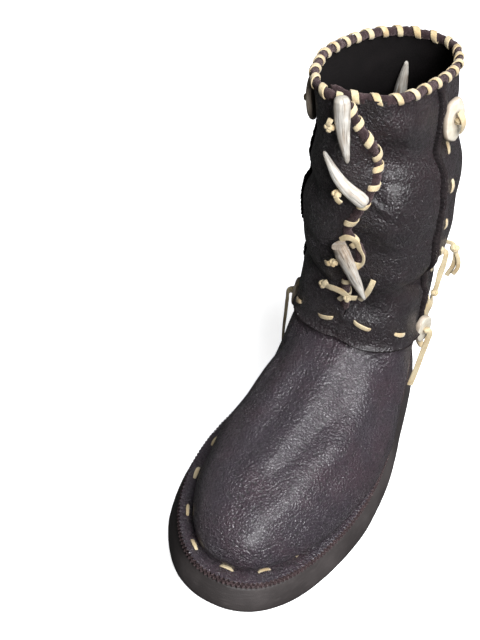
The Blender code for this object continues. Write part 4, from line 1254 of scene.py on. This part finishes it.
def build_slice(place, seed):
    """Profile from the hole over the rounded rim and back, carried round an uneven oval."""
    middle, long, across, out, half = slice_frame(*place)
    turn = np.linspace(0, 2 * np.pi, 64, endpoint=False)
    dice = np.random.default_rng(seed)
    uneven = 1
    for n in (2, 3, 4, 5, 7):
        uneven = uneven + dice.uniform(-1, 1) * 0.018 * np.cos(n * turn + dice.uniform(0, 6.3))
    share, rise = SLICE_PROFILE[:, :1], SLICE_PROFILE[:, 1:]
    ring = np.cos(turn)[None] * half[0] * uneven, np.sin(turn)[None] * half[1] * uneven
    hole = np.cos(turn)[None] * SLICE_HOLE, np.sin(turn)[None] * SLICE_HOLE
    a, b = hole[0] + (ring[0] - hole[0]) * share, hole[1] + (ring[1] - hole[1]) * share
    thick = half[2] * rise * (1 + 0.08 * np.cos(turn + seed))[None]
    body = middle + a[..., None] * long + b[..., None] * across + thick[..., None] * out
    number = np.arange(body.shape[0] * 64).reshape(-1, 64)
    number = np.r_[number, number[:1]]
    flow = np.stack(np.broadcast_arrays(share * 0.86 + 0.14, turn[None] / 6.2832), -1)
    return body.reshape(-1, 3), quads_of(np.c_[number, number[:, :1]]), flow.reshape(-1, 2)


disc = slice_face()
for seed, place in enumerate(SLICES):
    points, faces, flow = build_slice(place, seed + 11)
    new_piece("slice_" + place[0], points, faces, [disc], "antler", "button_" + place[0], flow=flow, sharp=60)


# Knots: each tip and slice is held by a lace of the same buckskin. It comes through from behind and is
# knotted in front, a tight overhand knot with a stub.
def overhand(middle, out, size, spin, tail=0.0):
    """Overhand knot as a trefoil line, flattened on out: x = sin t + 2 sin 2t, y = cos t - 2 cos 2t and
    z = -sin 3t. A tail is a short flat end that leaves the middle."""
    out = unit(np.asarray(out, float))
    side = unit(np.cross([0.13, 0.21, 1.0], out))
    up = np.cross(out, side)
    t = np.linspace(0, 2 * np.pi, 48, endpoint=False) + spin
    x, y, z = np.sin(t) + 2 * np.sin(2 * t), np.cos(t) - 2 * np.cos(2 * t), -np.sin(3 * t)
    spots = np.asarray(middle) + (x[:, None] * side * 1.15 + y[:, None] * up * 0.85) * size / 10
    spots += z[:, None] * out * size * 0.2
    upward = spots - middle + out * 0.0004
    parts = [ribbon(spots, upward, size * 0.24, size * 0.15, closed=True, squareness=0.85)]
    if tail:
        t = np.linspace(0, 1, 9)[:, None]
        bend = up * math.cos(spin * 3) + side * math.sin(spin * 3)
        path = np.asarray(middle) + bend * t * tail + out * (0.0006 + 0.0012 * np.sin(np.pi * t))
        parts.append(ribbon(path, out, LACE * 0.42, LACE_THICK / 2))
    return parts


for seed, (node, knot, root, size) in enumerate(
    (
        ("toggle_tie_top", (-20.9, -12.0, 265.4), (-16.5, -3.5, 264.6), 0.0064),
        ("toggle_tie_middle", (-10.8, -10.6, 224.0), (-9.0, -4.0, 226.5), 0.0062),
        ("toggle_tie_bottom", (-5.8, -8.2, 174.4), (-1.0, -1.0, 176.5), 0.0060),
    )
):
    knot, root = np.array(knot) / 1000, np.array(root) / 1000
    out = np.array([-0.25, -1.0, 0.1])
    parts = overhand(knot, out, size, 0.7 * seed, tail=0.0055)
    shank = soft_line([root, (root + knot) / 2 + np.array([0, -0.0012, 0.0005]), knot], 14)
    parts.append(ribbon(shank, out + np.array([0, 0, 0.3]), LACE * 0.4, LACE_THICK / 2))
    new_piece(node + "_lace", *joined(parts), [thong], "buckskin", node, weld=True)

for seed, place in enumerate(SLICES):
    name = place[0]
    middle, long, across, out, half = slice_frame(*place)
    top = middle + out * (half[2] + 0.0016)
    parts = overhand(top, out, 0.0058, 1.1 * seed + 0.4)
    t = np.linspace(0, 1, 12)[:, None]
    shank = middle - out * 0.0035 + out * t * 0.006
    parts.append(ribbon(shank, across, LACE * 0.42, LACE_THICK * 0.7))
    if name == "lateral_upper":
        strap = top + long * (0.5 - t) * 0.014 + across * (t - 0.5) * 0.004
        strap = strap + out * (0.0014 + 0.0020 * np.sin(np.pi * t))
        parts.append(ribbon(strap, out, LACE * 0.62, LACE_THICK / 2))
    held = "button_tie_" + name if name.endswith("upper") else None
    new_piece("knot_" + name, *joined(parts), [thong], "buckskin", held, weld=True)


# Loose laces: the ends of the ties hang free or lie on the leather. A loop closes the flap, a knotted one ties
# the bottom of the slit, and on the lateral seam two strands hang, one of them to a small curled leaf.
def loose_lace(name, route, upward, half_width):
    """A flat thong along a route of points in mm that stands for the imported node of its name."""
    path = soft_line(np.array(route) / 1000, 40)
    upward = np.asarray(upward, float)
    wave = np.sin(np.linspace(0, 5, 40))[:, None] * 0.15
    shape = ribbon(path, upward + wave * np.roll(upward, 1, -1), half_width, LACE_THICK / 2)
    return new_piece(name + "_lace", *shape, [thong], "buckskin", name, weld=True), path


def lace_knot(name, parts):
    """Knots and short ends as a piece of their own."""
    return new_piece(name, *joined(parts), [thong], "buckskin", weld=True)


def short_end(route, upward, half_width, count):
    """A loose end of lace along a route of points in mm."""
    return ribbon(soft_line(np.array(route) / 1000, count), upward, half_width, LACE_THICK / 2)


CLOSING_LOOP = (
    (-5.0, -4.6, 189.8),
    (-1.2, -5.4, 193.6),
    (3.8, -5.2, 193.4),
    (7.4, -4.0, 187.4),
    (10.2, -2.6, 182.2),
    (10.4, -1.6, 176.2),
    (6.7, -1.3, 170.2),
)
SIDE_TIE = (
    (44.8, 71.3, 158.6),
    (48.0, 71.4, 158.9),
    (51.0, 71.4, 156.6),
    (52.6, 71.2, 150.5),
    (53.0, 70.8, 143.0),
    (50.6, 70.6, 133.2),
)
SIDE_STRAND = (
    (43.4, 70.0, 152.6),
    (45.9, 69.6, 151.8),
    (47.0, 69.0, 145.4),
    (46.2, 68.4, 136.4),
    (46.6, 68.0, 127.2),
    (46.3, 67.6, 116.4),
)
LATERAL_TAIL = (
    (50.0, 52.8, 98.4),
    (52.2, 53.0, 96.4),
    (52.4, 52.6, 88.9),
    (51.6, 51.4, 75.9),
    (50.9, 49.6, 62.0),
    (49.8, 47.8, 48.1),
)
MEDIAL_TAIL = (
    (-45.6, 41.4, 99.4),
    (-47.6, 41.4, 97.4),
    (-47.9, 41.4, 89.9),
    (-47.6, 41.4, 76.9),
    (-47.4, 41.4, 63.0),
    (-46.6, 41.4, 49.6),
)
SLIT_TIE = (
    (-15.8, 6.6, 141.0),
    (-12.8, 4.6, 144.6),
    (-8.2, 2.2, 146.6),
    (-3.6, 1.8, 147.0),
    (1.0, 2.0, 146.2),
    (4.6, 3.0, 142.6),
)
side_parts = overhand((0.0509, 0.0713, 0.1556), (0.5, -1, 0.1), 0.0072, 0.3)
side_end = ((51.5, 70.9, 154.5), (55.2, 69.8, 149.5), (56.4, 69.3, 143.0), (54.6, 69.2, 137.0))
side_parts.append(short_end(side_end, (0.2, -1.0, 0.1), 0.0015, 14))
side_knot = lace_knot("side_tie_knot", side_parts)
strand_parts = overhand((0.0464, 0.0677, 0.1178), (0.6, -0.8, 0.0), 0.0060, 0.9)
second = (
    (43.4, 71.6, 151.5),
    (46.2, 71.4, 149.0),
    (47.2, 70.7, 143.0),
    (47.0, 69.5, 132.0),
    (46.4, 68.0, 119.0),
)
strand_parts.append(short_end(second, (0.6, -0.8, 0.0), 0.0015, 20))
strand_knot = lace_knot("side_strand_knot", strand_parts)
slit_parts = overhand((-0.0135, 0.0045, 0.1450), (-0.3, -1, 0.1), 0.0062, 0.2, 0.005)
slit_parts += overhand((0.0042, 0.0022, 0.1425), (0, -1, 0.1), 0.0058, 1.0)
for way in (
    ((-1.6, 5.6, 136.5), (0.8, 3.8, 140.5), (4.2, 2.4, 143.2), (7.4, 3.0, 143.8), (9.4, 4.6, 143.4)),
    ((11.6, 5.4, 142.4), (13.4, 3.6, 146.0), (15.8, 2.8, 151.6), (17.4, 2.2, 158.2), (18.0, 3.2, 162.6)),
):
    slit_parts.append(short_end(way, (0.15, -1.0, 0.1), 0.0018, 16))
lace_knot("slit_tie_knots", slit_parts)
loose_lace("slit_tie", SLIT_TIE, (-0.2, -1.0, 0.1), 0.0021)
loop_width = np.interp(np.arange(40), [0, 16, 22, 34, 39], [0.0019, 0.0018, 0.0010, 0.0010, 0.0016])
for name, route, upward, width, end, hung, knots in (
    ("closing_loop", CLOSING_LOOP, (-0.1, -1.0, 0.2), loop_width, "object", "loose", []),
    ("side_tie", SIDE_TIE, (0.2, -1.0, 0.1), 0.0016, "bare", "hanging", [side_knot]),
    ("side_strand", SIDE_STRAND, (0.6, -0.8, 0.0), 0.0019, "knot", "hanging", [strand_knot]),
    ("button_tie_lateral_lower", LATERAL_TAIL, (0.45, -1.0, 0.1), 0.0021, "bare", "hanging", []),
    ("button_tie_medial_lower", MEDIAL_TAIL, (-0.7, -0.7, 0.0), 0.0021, "bare", "hanging", []),
):
    piece, path = loose_lace(name, route, upward, width)
    across = float(np.max(width)) * 2


# Leaf: a small leaf cut from thin buckskin, hung by its point and curled round itself.
LEAF_WIDTH, LEAF_LENGTH = 0.016, 0.044


def build_leaf():
    """Sheet on a grid: width sin(pi t)^0.6, curled across, its lower tips rolled outwards."""
    low, high = np.array(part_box("leaf"))
    rows, columns = 40, 22
    t, s = np.linspace(0, 1, rows)[:, None], np.linspace(-1, 1, columns)[None]
    half = LEAF_WIDTH / 2 * np.sin(np.pi * (0.10 + 0.84 * t)) ** 0.6 * (1 + 0.06 * np.sin(t * 21))
    curl = 1.1 + 0.5 * t
    around = np.sin(s * curl) / curl * half
    bulge = (np.cos(s * curl) - 1) / curl * half
    roll = np.clip(t - 0.8, 0, 1) ** 2 * 0.09
    out = np.array([0.985, -0.17, 0.0])
    side = np.cross([0, 0, 1.0], out)
    middle = np.array([(low[0] + high[0]) / 2 + 0.0012, (low[1] + high[1]) / 2, 0])
    spots = middle + around[..., None] * side + (bulge + roll + 0.0008 * np.sin(t * 9))[..., None] * out
    spots[..., 2] = high[2] - t * (high[2] - low[2])
    spots = spots.reshape(-1, 3)
    spots += (ripple(spots, 0.016, 71) * 0.0006)[:, None] * out
    number = np.arange(rows * columns).reshape(rows, columns)
    return shell(spots + out * 0.0006, spots - out * 0.0006, quads_of(number)[:, ::-1])


leaf = new_piece("leaf_skin", *build_leaf()[:2], [thong], "buckskin", "leaf")


# Camera, floor and light: the boot stands alone on a plain white floor that glows a little. A large soft lamp
# hangs over its lateral side, a smaller one stands ahead of it, and the tent gives weak light all round.
CAMERA_TURN, CAMERA_RISE, CAMERA_ROLL = 0.37935, 0.73364, -0.11023
CAMERA_DISTANCE, CAMERA_SIDE, CAMERA_UP = 0.65, -0.04942, 0.02979
CAMERA_LENS = 57.6


def add_camera():
    """Camera that looks along its own turn and rise, rolled a little to the left."""
    a, e, r = CAMERA_TURN, CAMERA_RISE, CAMERA_ROLL
    behind = np.array([math.sin(a) * math.cos(e), -math.cos(a) * math.cos(e), math.sin(e)])
    level = np.array([math.cos(a), math.sin(a), 0])
    upward = np.cross(behind, level)
    place = np.array([0, -0.03, 0.1]) + level * CAMERA_SIDE + upward * CAMERA_UP + behind * CAMERA_DISTANCE
    across = math.cos(r) * level - math.sin(r) * upward
    above = math.sin(r) * level + math.cos(r) * upward
    data = bpy.data.cameras.new("camera")
    data.lens = CAMERA_LENS
    data.sensor_width = 36
    data.clip_start = 0.01
    camera = bpy.data.objects.new("camera", data)
    bpy.context.scene.collection.objects.link(camera)
    matrix = np.eye(4)
    matrix[:3, :3] = np.stack([across, above, behind], -1)
    matrix[:3, 3] = place
    camera.matrix_world = matrix.T.tolist()
    bpy.context.scene.camera = camera


def add_lamp(name, place, aim, size, power, colour):
    """Square soft lamp at place that faces aim."""
    data = bpy.data.lights.new(name, "AREA")
    data.size, data.energy, data.color = size, power, colour
    lamp = bpy.data.objects.new(name, data)
    bpy.context.scene.collection.objects.link(lamp)
    back_way = unit(np.array(place, float) - np.array(aim, float))
    side = unit(np.cross([0, 0, 1.0], back_way))
    matrix = np.eye(4)
    matrix[:3, :3] = np.stack([side, np.cross(back_way, side), back_way], -1)
    matrix[:3, 3] = place
    lamp.matrix_world = matrix.T.tolist()


def floor_paper():
    """Matt white paper, faintly uneven, that gives off some light of its own."""
    finish = Finish("white_paper")
    tone = finish.noise(0.3, 2)
    white = finish.mix(tone, (0.86, 0.86, 0.86, 1), (0.9, 0.9, 0.9, 1))
    return finish.surface(white, 0.95, Emission_Color=(1, 1, 1, 1), Emission_Strength=0.8)


floor_mesh = bpy.data.meshes.new("floor")
floor_mesh.from_pydata([(-4, -4, 0), (4, -4, 0), (4, 4, 0), (-4, 4, 0)], [], [(0, 1, 2, 3)])
floor_mesh.materials.append(floor_paper())
floor = bpy.data.objects.new("floor", floor_mesh)
bpy.context.scene.collection.objects.link(floor)
floor.visible_diffuse = False
floor.visible_glossy = False
add_camera()
add_lamp("overhead", (0.46, -0.22, 1.20), (0.02, 0, 0.1), 0.8, 25, (0.97, 0.98, 1.0))
add_lamp("key", (0.58, -0.72, 0.80), (0, -0.06, 0.08), 0.4, 15, (0.99, 0.985, 1.0))
world = bpy.data.worlds.new("tent")
world.use_nodes = True
tent = world.node_tree.nodes["Background"].inputs
tent["Color"].default_value = (1, 1, 1, 1)
tent["Strength"].default_value = 0.06
bpy.context.scene.world = world
bpy.context.scene.view_settings.view_transform = "Standard"
